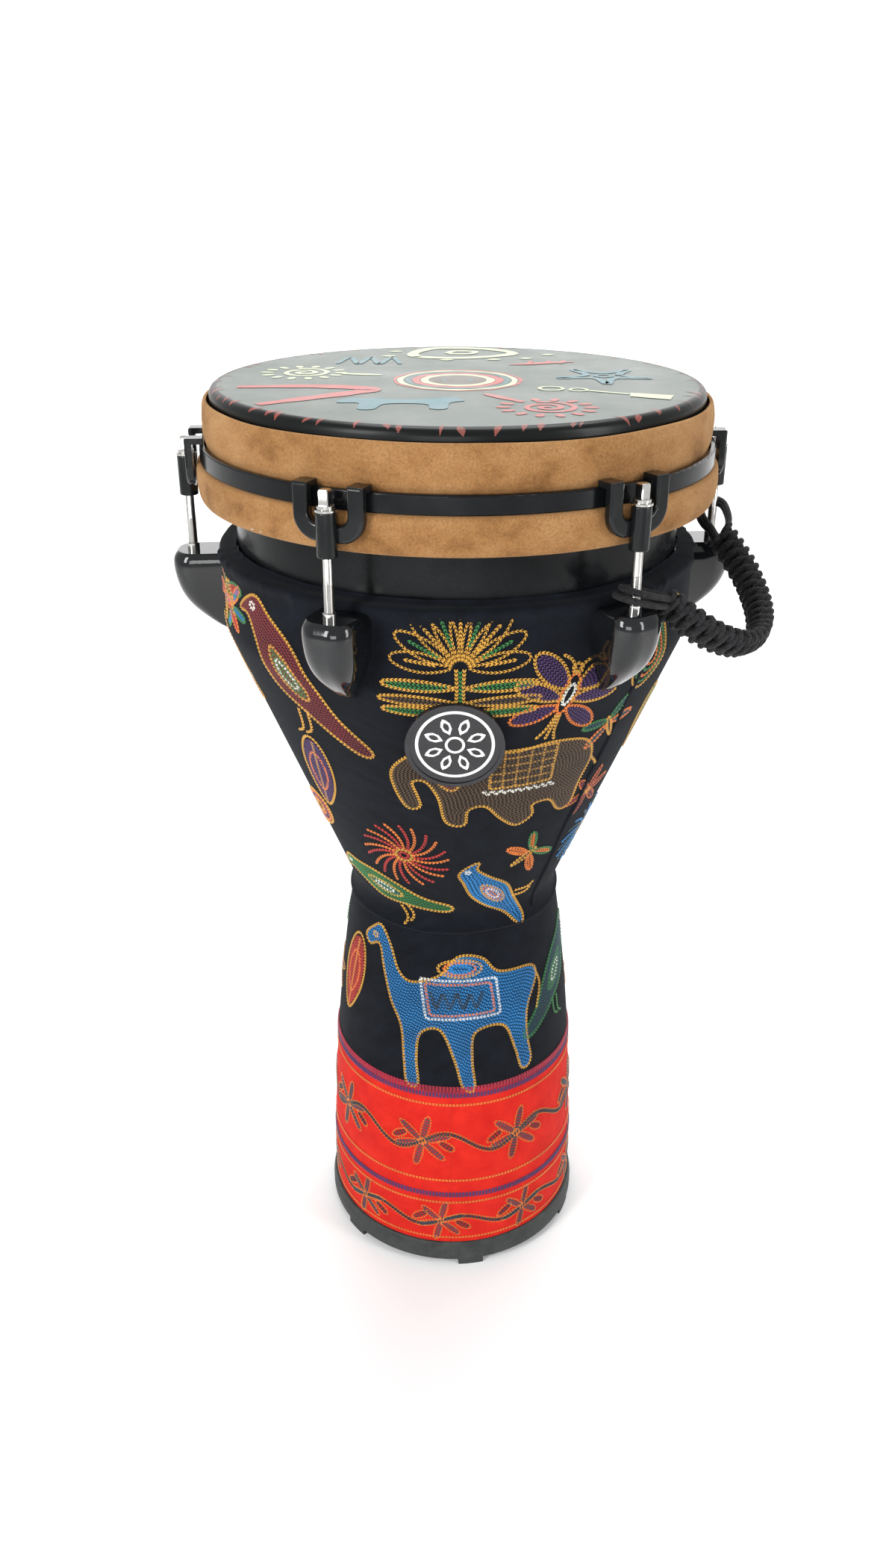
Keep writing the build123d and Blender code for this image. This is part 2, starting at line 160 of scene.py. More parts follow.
def rough_by(tree, shader, source, low, high):
    """Roughness from low to high over a texture's value."""
    rough = range_node(tree, source.outputs["Fac"], low, high)
    tree.links.new(rough.outputs["Result"], shader.inputs["Roughness"])


def enamel(name, colour, rough_low, rough_high, coat, orange_peel=0.06, level=0.3):
    """Glossy black enamel: slight orange peel and handling smears."""
    material, tree, shader = new_material(name)
    set_inputs(shader, Base_Color=rgb(colour), Coat_Weight=coat, Coat_Roughness=0.05,
               Specular_IOR_Level=level)
    smear = noise_node(tree, 38, detail=5)
    colour_by(tree, shader, smear, [(0.3, colour), (0.75, [c * 1.9 + 0.002 for c in colour])])
    rough_by(tree, shader, smear, rough_low, rough_high)
    peel = noise_node(tree, 420, detail=2)
    bump_node(tree, shader, peel.outputs["Fac"], orange_peel, 0.0006)
    return material


def metal(name, colour, rough_low, rough_high):
    """Bright metal with fine scratches and slight colour drift."""
    material, tree, shader = new_material(name)
    set_inputs(shader, Metallic=1.0)
    drift = noise_node(tree, 90, detail=6, stretch=(1, 1, 0.2))
    colour_by(tree, shader, drift, [(0.25, [c * 0.82 for c in colour]), (0.7, colour)])
    rough_by(tree, shader, drift, rough_low, rough_high)
    bump_node(tree, shader, drift.outputs["Fac"], 0.05, 0.0003)
    return material


def math_node(tree, operation, first, second=None):
    """Arithmetic on numbers or sockets."""
    node = tree.nodes.new("ShaderNodeMath")
    node.operation = operation
    for socket, value in zip(node.inputs, (first, second)):
        if value is None:
            continue
        if isinstance(value, (int, float)):
            socket.default_value = value
        else:
            tree.links.new(value, socket)
    return node


def woven(name, dark, light, thread=0.0011, rough=0.9, sheen=0.03):
    """Plain weave on UV metres: warp and weft waves for bump, mottled colour, sheen."""
    material, tree, shader = new_material(name)
    set_inputs(shader, Roughness=rough, Sheen_Weight=sheen, Sheen_Roughness=0.45, Specular_IOR_Level=0.12)
    place = tree.nodes.new("ShaderNodeTexCoord")
    split = tree.nodes.new("ShaderNodeSeparateXYZ")
    tree.links.new(place.outputs["UV"], split.inputs["Vector"])
    waves = []
    for axis in ("X", "Y"):
        scaled = math_node(tree, "MULTIPLY", split.outputs[axis], 2 * math.pi / thread)
        waves.append(math_node(tree, "SINE", scaled.outputs[0]))
    cross = math_node(tree, "MULTIPLY", waves[0].outputs[0], waves[1].outputs[0])
    mottle = noise_node(tree, 60, detail=8, coords="UV")
    colour_by(tree, shader, mottle, [(0.3, dark), (0.72, light)])
    soft = bump_node(tree, shader, mottle.outputs["Fac"], 0.25, 0.0015)
    bump_node(tree, shader, cross.outputs[0], 0.35, 0.0002, below=soft)
    return material


def suede_material():
    """Tan suede: broad rubbed patches, short nap, darker flecks, sheen."""
    material, tree, shader = new_material("suede")
    set_inputs(shader, Roughness=0.92, Sheen_Weight=0.18, Sheen_Roughness=0.5, Specular_IOR_Level=0.15)
    shader.inputs["Sheen Tint"].default_value = rgb((0.9, 0.68, 0.42))
    patches = noise_node(tree, 26, detail=7, rough=0.62, stretch=(1, 1, 1.6))
    nap = noise_node(tree, 900, detail=3, rough=0.7)
    tint = ramp_node(tree, patches.outputs["Fac"], [
        (0.30, (0.165, 0.072, 0.022)), (0.47, (0.300, 0.150, 0.054)), (0.70, (0.385, 0.212, 0.088))])
    fleck = ramp_node(tree, nap.outputs["Fac"], [(0.32, (0.66, 0.62, 0.58)), (0.62, (1.0, 1.0, 1.0))])
    mix = tree.nodes.new("ShaderNodeMix")
    mix.data_type = "RGBA"
    mix.blend_type = "MULTIPLY"
    mix.inputs["Factor"].default_value = 1.0
    tree.links.new(tint.outputs["Color"], mix.inputs["A"])
    tree.links.new(fleck.outputs["Color"], mix.inputs["B"])
    tree.links.new(mix.outputs["Result"], shader.inputs["Base Color"])
    base = bump_node(tree, shader, patches.outputs["Fac"], 0.3, 0.002)
    bump_node(tree, shader, nap.outputs["Fac"], 0.55, 0.0006, below=base)
    return material


def film_material(name, colour, fade=0.0):
    """Satin polyester film, or a print under it that fades into the film's colour in patches."""
    material, tree, shader = new_material(name)
    set_inputs(shader, Coat_Weight=0.03, Coat_Roughness=0.12, Specular_IOR_Level=0.16)
    base = (0.060, 0.080, 0.066)
    cloud = noise_node(tree, 14, detail=6, rough=0.65)
    speck = noise_node(tree, 240, detail=4)
    faded = [c * (1 - fade) + b * fade for c, b in zip(colour, base)]
    colour_by(tree, shader, cloud, [(0.34, faded), (0.66, colour)])
    rough_by(tree, shader, cloud, 0.26, 0.40)
    bump_node(tree, shader, speck.outputs["Fac"], 0.06, 0.0003)
    return material


def thread_material(name, colour):
    """Embroidery yarn: bright and darker strands, slight sheen."""
    material, tree, shader = new_material(name)
    set_inputs(shader, Roughness=0.62, Sheen_Weight=0.3, Specular_IOR_Level=0.35)
    strands = noise_node(tree, 700, detail=3)
    drift = noise_node(tree, 45, detail=3)
    colour_by(tree, shader, drift, [(0.3, [c * 0.72 for c in colour]), (0.65, colour)])
    bump_node(tree, shader, strands.outputs["Fac"], 0.4, 0.0004)
    return material


def rubber_material():
    """Matt black rubber with grey scuffs and a fine grain."""
    material, tree, shader = new_material("rubber")
    set_inputs(shader, Specular_IOR_Level=0.4)
    scuff = noise_node(tree, 70, detail=8, rough=0.7)
    grain = noise_node(tree, 900, detail=2)
    colour_by(tree, shader, scuff, [(0.35, (0.012, 0.016, 0.015)), (0.75, (0.045, 0.052, 0.048))])
    rough_by(tree, shader, scuff, 0.48, 0.7)
    bump_node(tree, shader, grain.outputs["Fac"], 0.25, 0.0004)
    return material


def cord_material():
    """Black braided sheath: fine diagonal plait on UV, soft sheen."""
    material, tree, shader = new_material("cord")
    set_inputs(shader, Roughness=0.62, Sheen_Weight=0.05, Sheen_Roughness=0.35, Specular_IOR_Level=0.22)
    place = tree.nodes.new("ShaderNodeTexCoord")
    split = tree.nodes.new("ShaderNodeSeparateXYZ")
    tree.links.new(place.outputs["UV"], split.inputs["Vector"])
    diagonals = []
    for sign in (1, -1):
        along = math_node(tree, "MULTIPLY", split.outputs["Y"], 2 * math.pi / 0.0016)
        across = math_node(tree, "MULTIPLY", split.outputs["X"], sign * 2 * math.pi * 6)
        total = math_node(tree, "ADD", along.outputs[0], across.outputs[0])
        diagonals.append(math_node(tree, "SINE", total.outputs[0]))
    plait = math_node(tree, "MAXIMUM", diagonals[0].outputs[0], diagonals[1].outputs[0])
    fuzz = noise_node(tree, 500, detail=4)
    colour_by(tree, shader, fuzz, [(0.35, (0.004, 0.004, 0.005)), (0.7, (0.022, 0.022, 0.024))])
    base = bump_node(tree, shader, fuzz.outputs["Fac"], 0.35, 0.0005)
    bump_node(tree, shader, plait.outputs[0], 0.6, 0.0003, below=base)
    return material


YARN = {
    "gold": (0.56, 0.285, 0.028), "orange": (0.66, 0.165, 0.018), "red": (0.42, 0.018, 0.012),
    "maroon": (0.165, 0.008, 0.012), "green": (0.018, 0.155, 0.032), "teal": (0.005, 0.050, 0.068),
    "blue": (0.008, 0.175, 0.45), "purple": (0.050, 0.013, 0.095), "brown": (0.066, 0.036, 0.016),
    "white": (0.68, 0.68, 0.62), "crimson": (0.34, 0.005, 0.030), "ink": (0.004, 0.012, 0.019),
}
MATERIALS = {
    "cloth": woven("cloth", (0.0022, 0.0030, 0.0048), (0.0060, 0.0080, 0.0125)),
    "border": woven("border", (0.46, 0.009, 0.006), (0.60, 0.020, 0.010), rough=0.85),
    "suede": suede_material(),
    "film": film_material("film", (0.085, 0.108, 0.090), fade=0.7),
    "rubber": rubber_material(),
    "cord": cord_material(),
    "collar": enamel("shell_gelcoat", (0.0025, 0.0030, 0.0035), 0.20, 0.32, 0.05, level=0.16),
    "hoop": enamel("hoop_enamel", (0.003, 0.0034, 0.004), 0.14, 0.24, 0.1, level=0.2),
    "claw": enamel("claw_enamel", (0.003, 0.0036, 0.004), 0.14, 0.26, 0.2, orange_peel=0.12, level=0.25),
    "lug": enamel("lug_enamel", (0.003, 0.0035, 0.0042), 0.06, 0.12, 0.45, orange_peel=0.03, level=0.3),
    "chrome": metal("chrome", (0.80, 0.79, 0.76), 0.10, 0.22),
    "steel": metal("zinc_steel", (0.55, 0.55, 0.52), 0.28, 0.45),
    "badge": enamel("badge_moulding", (0.008, 0.008, 0.010), 0.2, 0.3, 0.4),
}
MATERIALS.update({f"yarn_{name}": thread_material(f"yarn_{name}", colour) for name, colour in YARN.items()})


def dress(node, key):
    """Gives a CAD node's object one of the materials above."""
    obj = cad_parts[node]
    for slot in obj.material_slots:
        slot.material = MATERIALS[key]
    if not obj.material_slots:
        obj.data.materials.append(MATERIALS[key])


# ---------------------------------------------------------------- mesh building
def make_object(name, vertices, faces, material, uvs=None, smooth=True):
    """Mesh object from arrays; uvs is one (u, v) per vertex."""
    mesh = bpy.data.meshes.new(name)
    mesh.from_pydata([tuple(v) for v in vertices], [], [tuple(f) for f in faces])
    if uvs is not None:
        layer = mesh.uv_layers.new(name="UVMap")
        corners = np.zeros(len(mesh.loops), dtype=np.int32)
        mesh.loops.foreach_get("vertex_index", corners)
        layer.data.foreach_set("uv", np.asarray(uvs, dtype=np.float32)[corners].ravel())
    mesh.validate()
    if smooth:
        mesh.polygons.foreach_set("use_smooth", [True] * len(mesh.polygons))
    mesh.materials.append(material)
    obj = bpy.data.objects.new(name, mesh)
    bpy.context.collection.objects.link(obj)
    return obj


def grid_faces(rows, columns, wrap=True):
    """Quads between rows of points, each row closed on itself when wrap is set."""
    faces = []
    last = columns if wrap else columns - 1
    for i in range(rows - 1):
        for j in range(last):
            k = (j + 1) % columns
            faces.append((i * columns + j, i * columns + k, (i + 1) * columns + k, (i + 1) * columns + j))
    return faces


def around_point(theta, radius, z):
    """Point at an angle from the front, positive towards +X."""
    return (radius * np.sin(theta), -radius * np.cos(theta), z)


def lathe(name, profile, material, segments=256, shift=None):
    """Surface of revolution from (radius, height) rows; shift(theta, row) gives extra radius and height."""
    profile = np.asarray(profile, dtype=float)
    theta = np.linspace(0, 2 * math.pi, segments, endpoint=False)
    lengths = np.concatenate([[0], np.cumsum(np.hypot(*np.diff(profile, axis=0).T))])
    points, uvs = [], []
    for row, (radius, z) in enumerate(profile):
        extra = shift(theta, row) if shift else (0, 0)
        x, y, height = around_point(theta, radius + extra[0], np.full_like(theta, z) + extra[1])
        points.append(np.stack([x, y, height], axis=1))
        uvs.append(np.stack([theta * radius, np.full_like(theta, lengths[row])], axis=1))
    faces = grid_faces(len(profile), segments)
    return make_object(name, np.concatenate(points), faces, material, uvs=np.concatenate(uvs))


def smooth_curve(points, closed=False, steps=8):
    """Catmull-Rom curve through points."""
    pts = np.asarray(points, dtype=float)
    if closed:
        pts = np.vstack([pts[-1], pts, pts[0], pts[1]])
    else:
        pts = np.vstack([2 * pts[0] - pts[1], pts, 2 * pts[-1] - pts[-2]])
    out = []
    for a, b, c, d in zip(pts, pts[1:], pts[2:], pts[3:]):
        for t in np.linspace(0, 1, steps, endpoint=False):
            out.append(0.5 * (2 * b + (c - a) * t + (2 * a - 5 * b + 4 * c - d) * t * t
                              + (3 * b - a - 3 * c + d) * t ** 3))
    if not closed:
        out.append(pts[-2])
    return np.array(out)


def resample(points, step):
    """Points evenly spaced along a polyline."""
    pts = np.asarray(points, dtype=float)
    run = np.concatenate([[0], np.cumsum(np.linalg.norm(np.diff(pts, axis=0), axis=1))])
    count = max(2, int(round(run[-1] / step)) + 1)
    marks = np.linspace(0, run[-1], count)
    return np.stack([np.interp(marks, run, pts[:, k]) for k in range(pts.shape[1])], axis=1)


# ---------------------------------------------------------------- goblet surface
def goblet_radius(z):
    """Outside of the cloth at a height, waist and bowl corners eased."""
    z = np.asarray(z, dtype=float)
    swell = R_FOOT - R_WAIST
    bell = ((Z_WAIST - Z_RING_TOP) ** 2 + swell ** 2) / (2 * swell)

    def sharp(h):
        stem = R_FOOT - bell + np.sqrt(bell ** 2 - np.clip(h - Z_RING_TOP, 0, None) ** 2)
        cone = R_WAIST + (h - Z_WAIST) * (R_BOWL - R_WAIST) / (Z_BOWL - Z_WAIST)
        return np.where(h < Z_WAIST, stem, np.minimum(cone, R_BOWL))

    ease = np.linspace(-CORNER_EASE, CORNER_EASE, 7)
    return np.mean([sharp(z + e) for e in ease], axis=0)


def surface_point(theta, z, lift=0.0):
    """Point and outward normal on the goblet, theta in radians from the front."""
    radius = goblet_radius(z)
    near = 0.001
    slope = (goblet_radius(z + near) - goblet_radius(z - near)) / (2 * near)
    scale = 1 / np.sqrt(1 + slope ** 2)
    normal = np.stack([np.sin(theta) * scale, -np.cos(theta) * scale, -slope * scale], axis=-1)
    x, y, height = around_point(theta, radius, z)
    point = np.stack([x, y, height + 0 * x], axis=-1)
    return point + normal * lift, normal


def cloth_lift(z):
    """Height of the cloth's face above the goblet: the bowl cloth is thicker, most at its turned edge."""
    z = np.asarray(z, dtype=float)
    bowl = BOWL_CLOTH_FACE + TURNED_EDGE * np.exp(-np.clip(z - Z_BOWL_CLOTH, 0, None) / TURNED_EDGE_FADE)
    return np.where(z > Z_BOWL_CLOTH, bowl, CLOTH_FACE)


# ---------------------------------------------------------------- embroidery
class Stitches:
    """Collects chain stitches by yarn colour and makes one mesh of each."""

    LEAN = 0.42
    SPREAD = 0.24
    LOBE_SIZE = (1.25, 0.62, 0.42)
    LOBE = np.array([(-0.5, 0, 0.1), (0, 0.5, 0.0), (0.5, 0, 0.1), (0, -0.5, 0.0), (0.05, 0, 1.0)])
    LOBE_FACES = [(0, 3, 4), (3, 2, 4), (2, 1, 4), (1, 0, 4)]

    def __init__(self):
        self.runs = {}

    def add(self, colour, points, normals, width):
        """One line of chain stitch: points are the ends of its links."""
        mid = (points[1:] + points[:-1]) / 2
        along = points[1:] - points[:-1]
        length = np.linalg.norm(along, axis=1, keepdims=True)
        along = along / np.maximum(length, 1e-9)
        normal = (normals[1:] + normals[:-1]) / 2
        across = np.cross(normal, along)
        across /= np.maximum(np.linalg.norm(across, axis=1, keepdims=True), 1e-9)
        self.runs.setdefault(colour, []).append((mid, along, across, normal, length, width))

    def build(self, prefix, body):
        """Two slanted lobes to a link, so a line reads as a plait."""
        for colour, runs in self.runs.items():
            chunks = []
            for mid, along, across, normal, length, width in runs:
                for side in (-1, 1):
                    lean = self.LEAN * side
                    axis = along * math.cos(lean) + across * math.sin(lean)
                    over = across * math.cos(lean) - along * math.sin(lean)
                    centre = mid + across * (-side * self.SPREAD * width)
                    long, wide, high = self.LOBE_SIZE
                    lobe = (centre[:, None, :]
                            + axis[:, None, :] * (self.LOBE[None, :, 0:1] * length[:, None, :] * long)
                            + over[:, None, :] * (self.LOBE[None, :, 1:2] * width * wide)
                            + normal[:, None, :] * (self.LOBE[None, :, 2:3] * width * high))
                    chunks.append(lobe.reshape(-1, 3))
            points = np.concatenate(chunks)
            count = len(points) // len(self.LOBE)
            faces = np.array(self.LOBE_FACES)[None] + (np.arange(count) * len(self.LOBE))[:, None, None]
            piece = make_object(f"{prefix}_{colour}", points, faces.reshape(-1, 3),
                                MATERIALS[f"yarn_{colour}"])
            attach(piece, body)


class Motif:
    """Drawing board in millimetres on the goblet: origin at an angle and height, Y up the slope."""

    PITCH = 0.0025
    WIDTH = 0.0019
    LIFT = 0.0002
    SHORTEST_ROW = 2.4
    ROW_INSET = 0.8
    FOOT_MARGIN = 0.014
    STEP_MARGIN = 0.001

    def __init__(self, stitches, angle, z, scale=1.0, turn=0.0, flip=1):
        self.stitches, self.angle, self.z = stitches, math.radians(angle), z
        self.scale, self.turn, self.flip = scale, math.radians(turn), flip

    def place(self, points, lift):
        """Maps drawing points to the cloth, a little above its face."""
        pts = np.asarray(points, dtype=float) * self.scale / 1000
        u, v = pts[:, 0] * self.flip, pts[:, 1]
        cos, sin = math.cos(self.turn), math.sin(self.turn)
        u, v = u * cos - v * sin, u * sin + v * cos
        near = 0.01
        slope = (goblet_radius(self.z + near) - goblet_radius(self.z - near)) / (2 * near)
        z = np.clip(self.z + v / math.sqrt(1 + slope ** 2), Z_FOOT + self.FOOT_MARGIN,
                    Z_STEP - self.STEP_MARGIN)
        theta = self.angle + u / goblet_radius(z)
        return surface_point(theta, z, (lift + cloth_lift(z))[:, None])

    def line(self, colour, points, closed=False, smooth=True, width=1.0):
        pts = smooth_curve(points, closed) if smooth else np.asarray(points, dtype=float)
        if closed:
            pts = np.vstack([pts, pts[0]])
        marks = resample(pts, self.PITCH * 1000 / self.scale)
        placed, normals = self.place(marks, self.LIFT)
        self.stitches.add(colour, placed, normals, self.WIDTH * width)

    def fill(self, colour, points, angle=0.0, gap=2.05, smooth=True, width=0.82):
        """Rows of chain stitch inside an outline."""
        pts = smooth_curve(points, True) if smooth else np.asarray(points, dtype=float)
        a = math.radians(angle)
        spin = np.array([[math.cos(a), -math.sin(a)], [math.sin(a), math.cos(a)]])
        flat = pts @ spin
        gap = gap / self.scale
        ends = np.roll(flat, -1, axis=0)
        for row in np.arange(flat[:, 1].min() + gap, flat[:, 1].max() - gap / 2, gap):
            crosses = []
            for (x0, y0), (x1, y1) in zip(flat, ends):
                if (y0 > row) != (y1 > row):
                    crosses.append(x0 + (row - y0) * (x1 - x0) / (y1 - y0))
            crosses.sort()
            for left, right in zip(crosses[::2], crosses[1::2]):
                if right - left > self.SHORTEST_ROW / self.scale:
                    inset = self.ROW_INSET / self.scale
                    ends_of_row = np.array([(left + inset, row), (right - inset, row)]) @ spin.T
                    self.line(colour, ends_of_row, smooth=False, width=width)

    def petal(self, base, angle, length, breadth, outline, inner=None, fill=None, trim_width=1.0):
        """Leaf or petal from a base point, at an angle from upright."""
        a = math.radians(angle)
        shape = [(0, 0), (0.3, 0.42), (0.62, 0.5), (0.9, 0.3), (1, 0), (0.9, -0.3), (0.62, -0.5),
                 (0.3, -0.42)]

        def put(scale_in):
            out = []
            for s, w in shape:
                along = length * (0.5 + (s - 0.5) * scale_in)
                across = breadth * w * scale_in
                out.append((base[0] + along * math.sin(a) + across * math.cos(a),
                            base[1] + along * math.cos(a) - across * math.sin(a)))
            return out

        if fill:
            self.fill(fill, put(0.94), angle=90 - angle)
        if inner:
            self.line(inner, put(0.55), closed=True)
        self.line(outline, put(1.0), closed=True, width=trim_width)

    def ring(self, colour, centre, radius, squash=1.0):
        points = [(centre[0] + radius * math.cos(t), centre[1] + squash * radius * math.sin(t))
                  for t in np.linspace(0, 2 * math.pi, 12, endpoint=False)]
        self.line(colour, points, closed=True)


def fan_tree(m):
    """Fan of petals on a stem with long level leaves."""
    for i, angle in enumerate(np.linspace(-82, 82, 9)):
        length = 36 + 4 * math.cos(math.radians(angle))
        tip = (math.sin(math.radians(angle)), math.cos(math.radians(angle)))
        m.petal((5 * tip[0], 5 * tip[1]), angle, length, 11.5, "gold", trim_width=0.7)
        rib = [(14 * tip[0], 14 * tip[1]), (0.9 * length * tip[0], 0.9 * length * tip[1])]
        m.line("green" if i % 2 else "gold", rib, smooth=False)
    for x in (-2.4, 2.4):
        m.line("gold", [(x, 0), (x * 0.8, -14), (x * 1.1, -32)])
    m.line("green", [(0, -1), (0.4, -15), (0, -32)])
    for side in (-1, 1):
        for drop, reach, colour in ((-12, 44, "green"), (-22, 46, "brown"), (-30, 44, "green")):
            m.petal((side * 3, drop), side * 88, reach, 6, "gold", fill=colour)


def winged_insect(m):
    """Insect with four wings, pointed body and feelers."""
    for side in (-1, 1):
        m.petal((side * 3, 6), side * 52, 32, 15, "gold", fill="purple")
        m.petal((side * 3, -2), side * 78, 34, 11, "gold", fill="purple")
        m.petal((side * 3, -8), side * 118, 30, 12, "orange", fill="purple")
        m.line("gold", [(0, 16), (side * 5, 24), (side * 12, 27)])
    m.petal((0, -14), 0, 30, 11, "orange", inner="white")
    m.ring("gold", (0, 19), 3.4)
    for x in (-3, 0, 3):
        m.line("gold", [(x * 0.4, -14), (x, -26), (x * 2.2, -34)])


def elephant(m):
    """Walking elephant with a chequered blanket and a scalloped edge."""
    body = [(-58, 22), (-66, 8), (-62, -8), (-52, -24), (-44, -22), (-47, -12), (-52, 0), (-44, 2),
            (-34, -12), (-26, -34), (-14, -36), (-14, -22), (-4, -18), (8, -30), (20, -38), (30, -30),
            (28, -20), (40, -18), (50, -30), (60, -28), (62, -8), (66, 16), (56, 32), (30, 36), (4, 30),
            (-16, 34), (-30, 20), (-44, 30)]
    m.fill("brown", body, angle=12)
    m.line("gold", body, closed=True)
    ear = [(-40, 16), (-30, 22), (-20, 12), (-26, -4), (-36, 2)]
    m.fill("maroon", ear, angle=60)
    m.line("gold", ear, closed=True)
    blanket = [(-8, 30), (34, 35), (36, 2), (-4, -2)]
    for k in range(1, 5):
        t = k / 5
        m.line("gold", [(-8 + 42 * t, 30 + 5 * t), (-4 + 40 * t, -2 + 4 * t)], smooth=False, width=0.6)
        m.line("gold", [(-8 + 4 * t, 30 - 32 * t), (34 + 2 * t, 35 - 33 * t)], smooth=False, width=0.6)
    m.line("gold", blanket, closed=True, smooth=False)
    scallops = [(-8 + 48 * t, -6 + 4 * t + 2.4 * math.sin(18 * math.pi * t)) for t in np.linspace(0, 1, 28)]
    m.line("white", scallops)
    m.ring("white", (-50, 14), 2.4)
    m.line("gold", [(66, 14), (74, 4), (72, -10)])


def camel(m):
    """Long-necked pack animal with a saddle cloth, hump and tasselled tail."""
    body = [(-62, 48), (-70, 40), (-66, 34), (-56, 38), (-52, 22), (-46, 0), (-38, -18), (-36, -44),
            (-34, -62), (-26, -62), (-27, -40), (-24, -20), (-10, -16), (0, -40), (6, -62), (14, -64),
            (12, -40), (14, -18), (34, -16), (44, -38), (50, -56), (58, -52), (54, -30), (54, -8),
            (62, 12), (56, 22), (30, 26), (18, 38), (2, 40), (-10, 26), (-30, 18), (-40, 24), (-46, 40),
            (-54, 52)]
    m.fill("blue", body, angle=70)
    m.line("gold", body, closed=True)
    cloth = [(-24, 22), (28, 22), (32, -6), (-20, -8)]
    m.line("white", cloth, closed=True, smooth=False)
    m.line("orange", [(x * 0.86, (y - 7) * 0.8 + 7) for x, y in cloth], closed=True, smooth=False)
    m.line("ink", [(-17 + 4.5 * k, 0 if k % 2 else 13) for k in range(9)], smooth=False, width=1.4)
    for radius, colour in ((15, "gold"), (11, "orange"), (7, "blue")):
        m.ring(colour, (3, 31), radius, squash=0.42)
    m.ring("gold", (-60, 43), 2.2)
    m.line("gold", [(60, 18), (66, 4), (63, -14)])


def pinwheel(m, colours=("orange", "red")):
    """Swirling flower of curved petals round an eye."""
    for i in range(10):
        a = math.radians(36 * i)
        for bend, colour in ((0.0, colours[0]), (0.28, colours[1])):
            arm = [(r * math.cos(a + bend + r * 0.022), r * math.sin(a + bend + r * 0.022))
                   for r in (6, 14, 22, 29)]
            m.line(colour, arm)
    for radius, colour in ((5.4, "gold"), (3.2, colours[1])):
        m.ring(colour, (0, 0), radius)


def bird(m, body="maroon", wing="green", trim="gold"):
    """Perching bird with a folded wing and a long tail."""
    shape = [(-22, 30), (-30, 24), (-22, 22), (-16, 8), (-10, -10), (4, -24), (24, -44), (32, -42), (22, -24),
             (16, -4), (8, 12), (-4, 24), (-12, 32)]
    m.fill(body, shape, angle=50)
    m.line(trim, shape, closed=True)
    m.petal((-6, 10), 150, 30, 11, trim, inner="white", fill=wing)
    m.ring("white", (-17, 27), 2)
    for x in (0, 6):
        m.line(trim, [(x - 2, -22), (x - 6, -34), (x - 12, -37)])


def spiral_rings(m, colours):
    """Nested drop-shaped rings."""
    for k, colour in enumerate(colours):
        size = 24 - 4.2 * k
        m.line(colour, [(0, size * 1.25), (size * 0.62, size * 0.4), (size * 0.62, -size * 0.5), (0, -size),
                        (-size * 0.62, -size * 0.5), (-size * 0.62, size * 0.4)], closed=True)


def star_flower(m, colour="ink", trim="orange", eye="gold", petals=6, reach=21):
    """Narrow-petalled flower."""
    for k in range(petals):
        m.petal((0, 0), 360.0 / petals * k + 12, reach, reach * 0.27, trim, fill=colour, trim_width=0.5)
    m.ring(eye, (0, 0), 2.6)


def long_leaf(m, fill="red", trim="gold"):
    """Large pointed leaf with a mid-rib and nested outlines."""
    m.petal((0, -34), 0, 68, 26, trim, inner="orange", fill=fill)
    m.line(trim, [(0, -32), (0, 30)], smooth=False)


def dragonfly(m, wing="teal"):
    """Small insect with four narrow wings."""
    for side in (-1, 1):
        m.petal((side, 4), side * 62, 22, 6, "green", fill=wing)
        m.petal((side, 0), side * 112, 22, 6, "orange", fill=wing)
    m.petal((0, -16), 0, 24, 4, "gold", fill="brown")


def bowl_embroidery():
    """Motifs over the cone and the upright wall, all the way round."""
    s = Stitches()
    fan_tree(Motif(s, 1, 0.513, 0.98))
    winged_insect(Motif(s, 26, 0.490, 1.0, turn=-12))
    elephant(Motif(s, 12, 0.424, 1.0, turn=-4))
    bird(Motif(s, -43, 0.497, 1.32, turn=6))
    long_leaf(Motif(s, -47, 0.415, 1.0, turn=-14), "purple")
    pinwheel(Motif(s, -20, 0.359, 1.05))
    bird(Motif(s, -38, 0.322, 0.95, turn=40), "green", "teal")
    bird(Motif(s, 17, 0.325, 0.9, turn=70, flip=-1), "blue", "orange")
    dragonfly(Motif(s, 31, 0.356, 0.9, turn=-50), "orange")
    spiral_rings(Motif(s, 51, 0.502, 0.95, turn=-6), ("gold", "green", "orange", "green", "orange"))
    dragonfly(Motif(s, 44, 0.458, 0.95, turn=30))
    star_flower(Motif(s, 51, 0.398, 1.0), "maroon", "orange")
    pinwheel(Motif(s, 68, 0.352, 0.95), ("blue", "teal"))
    long_leaf(Motif(s, 70, 0.440, 0.95, turn=20), "green")
    long_leaf(Motif(s, 63, 0.522, 0.5, turn=55), "green")
    dragonfly(Motif(s, -70, 0.525, 1.3, turn=-20), "red")
    for k, angle in enumerate((100, 136, 172, 208, 244, 280)):
        draw, z, turn = ((elephant, 0.43, -5), (fan_tree, 0.50, 0), (bird, 0.49, 10))[k % 3]
        draw(Motif(s, angle, z, 0.92, turn=turn))
        (pinwheel, winged_insect, spiral)[k % 3](Motif(s, angle + 16, 0.372, 0.85, turn=25 * k))
        star_flower(Motif(s, angle - 14, 0.340, 0.8, turn=11 * k), "teal", "orange")
        dragonfly(Motif(s, angle + 15, 0.522, 0.9, turn=40 * k), ("green", "orange", "blue")[k % 3])
    s.build("embroidery_bowl", "shell")


def spiral(m):
    """Nested rings in three colours."""
    spiral_rings(m, ("gold", "orange", "purple", "orange", "gold"))


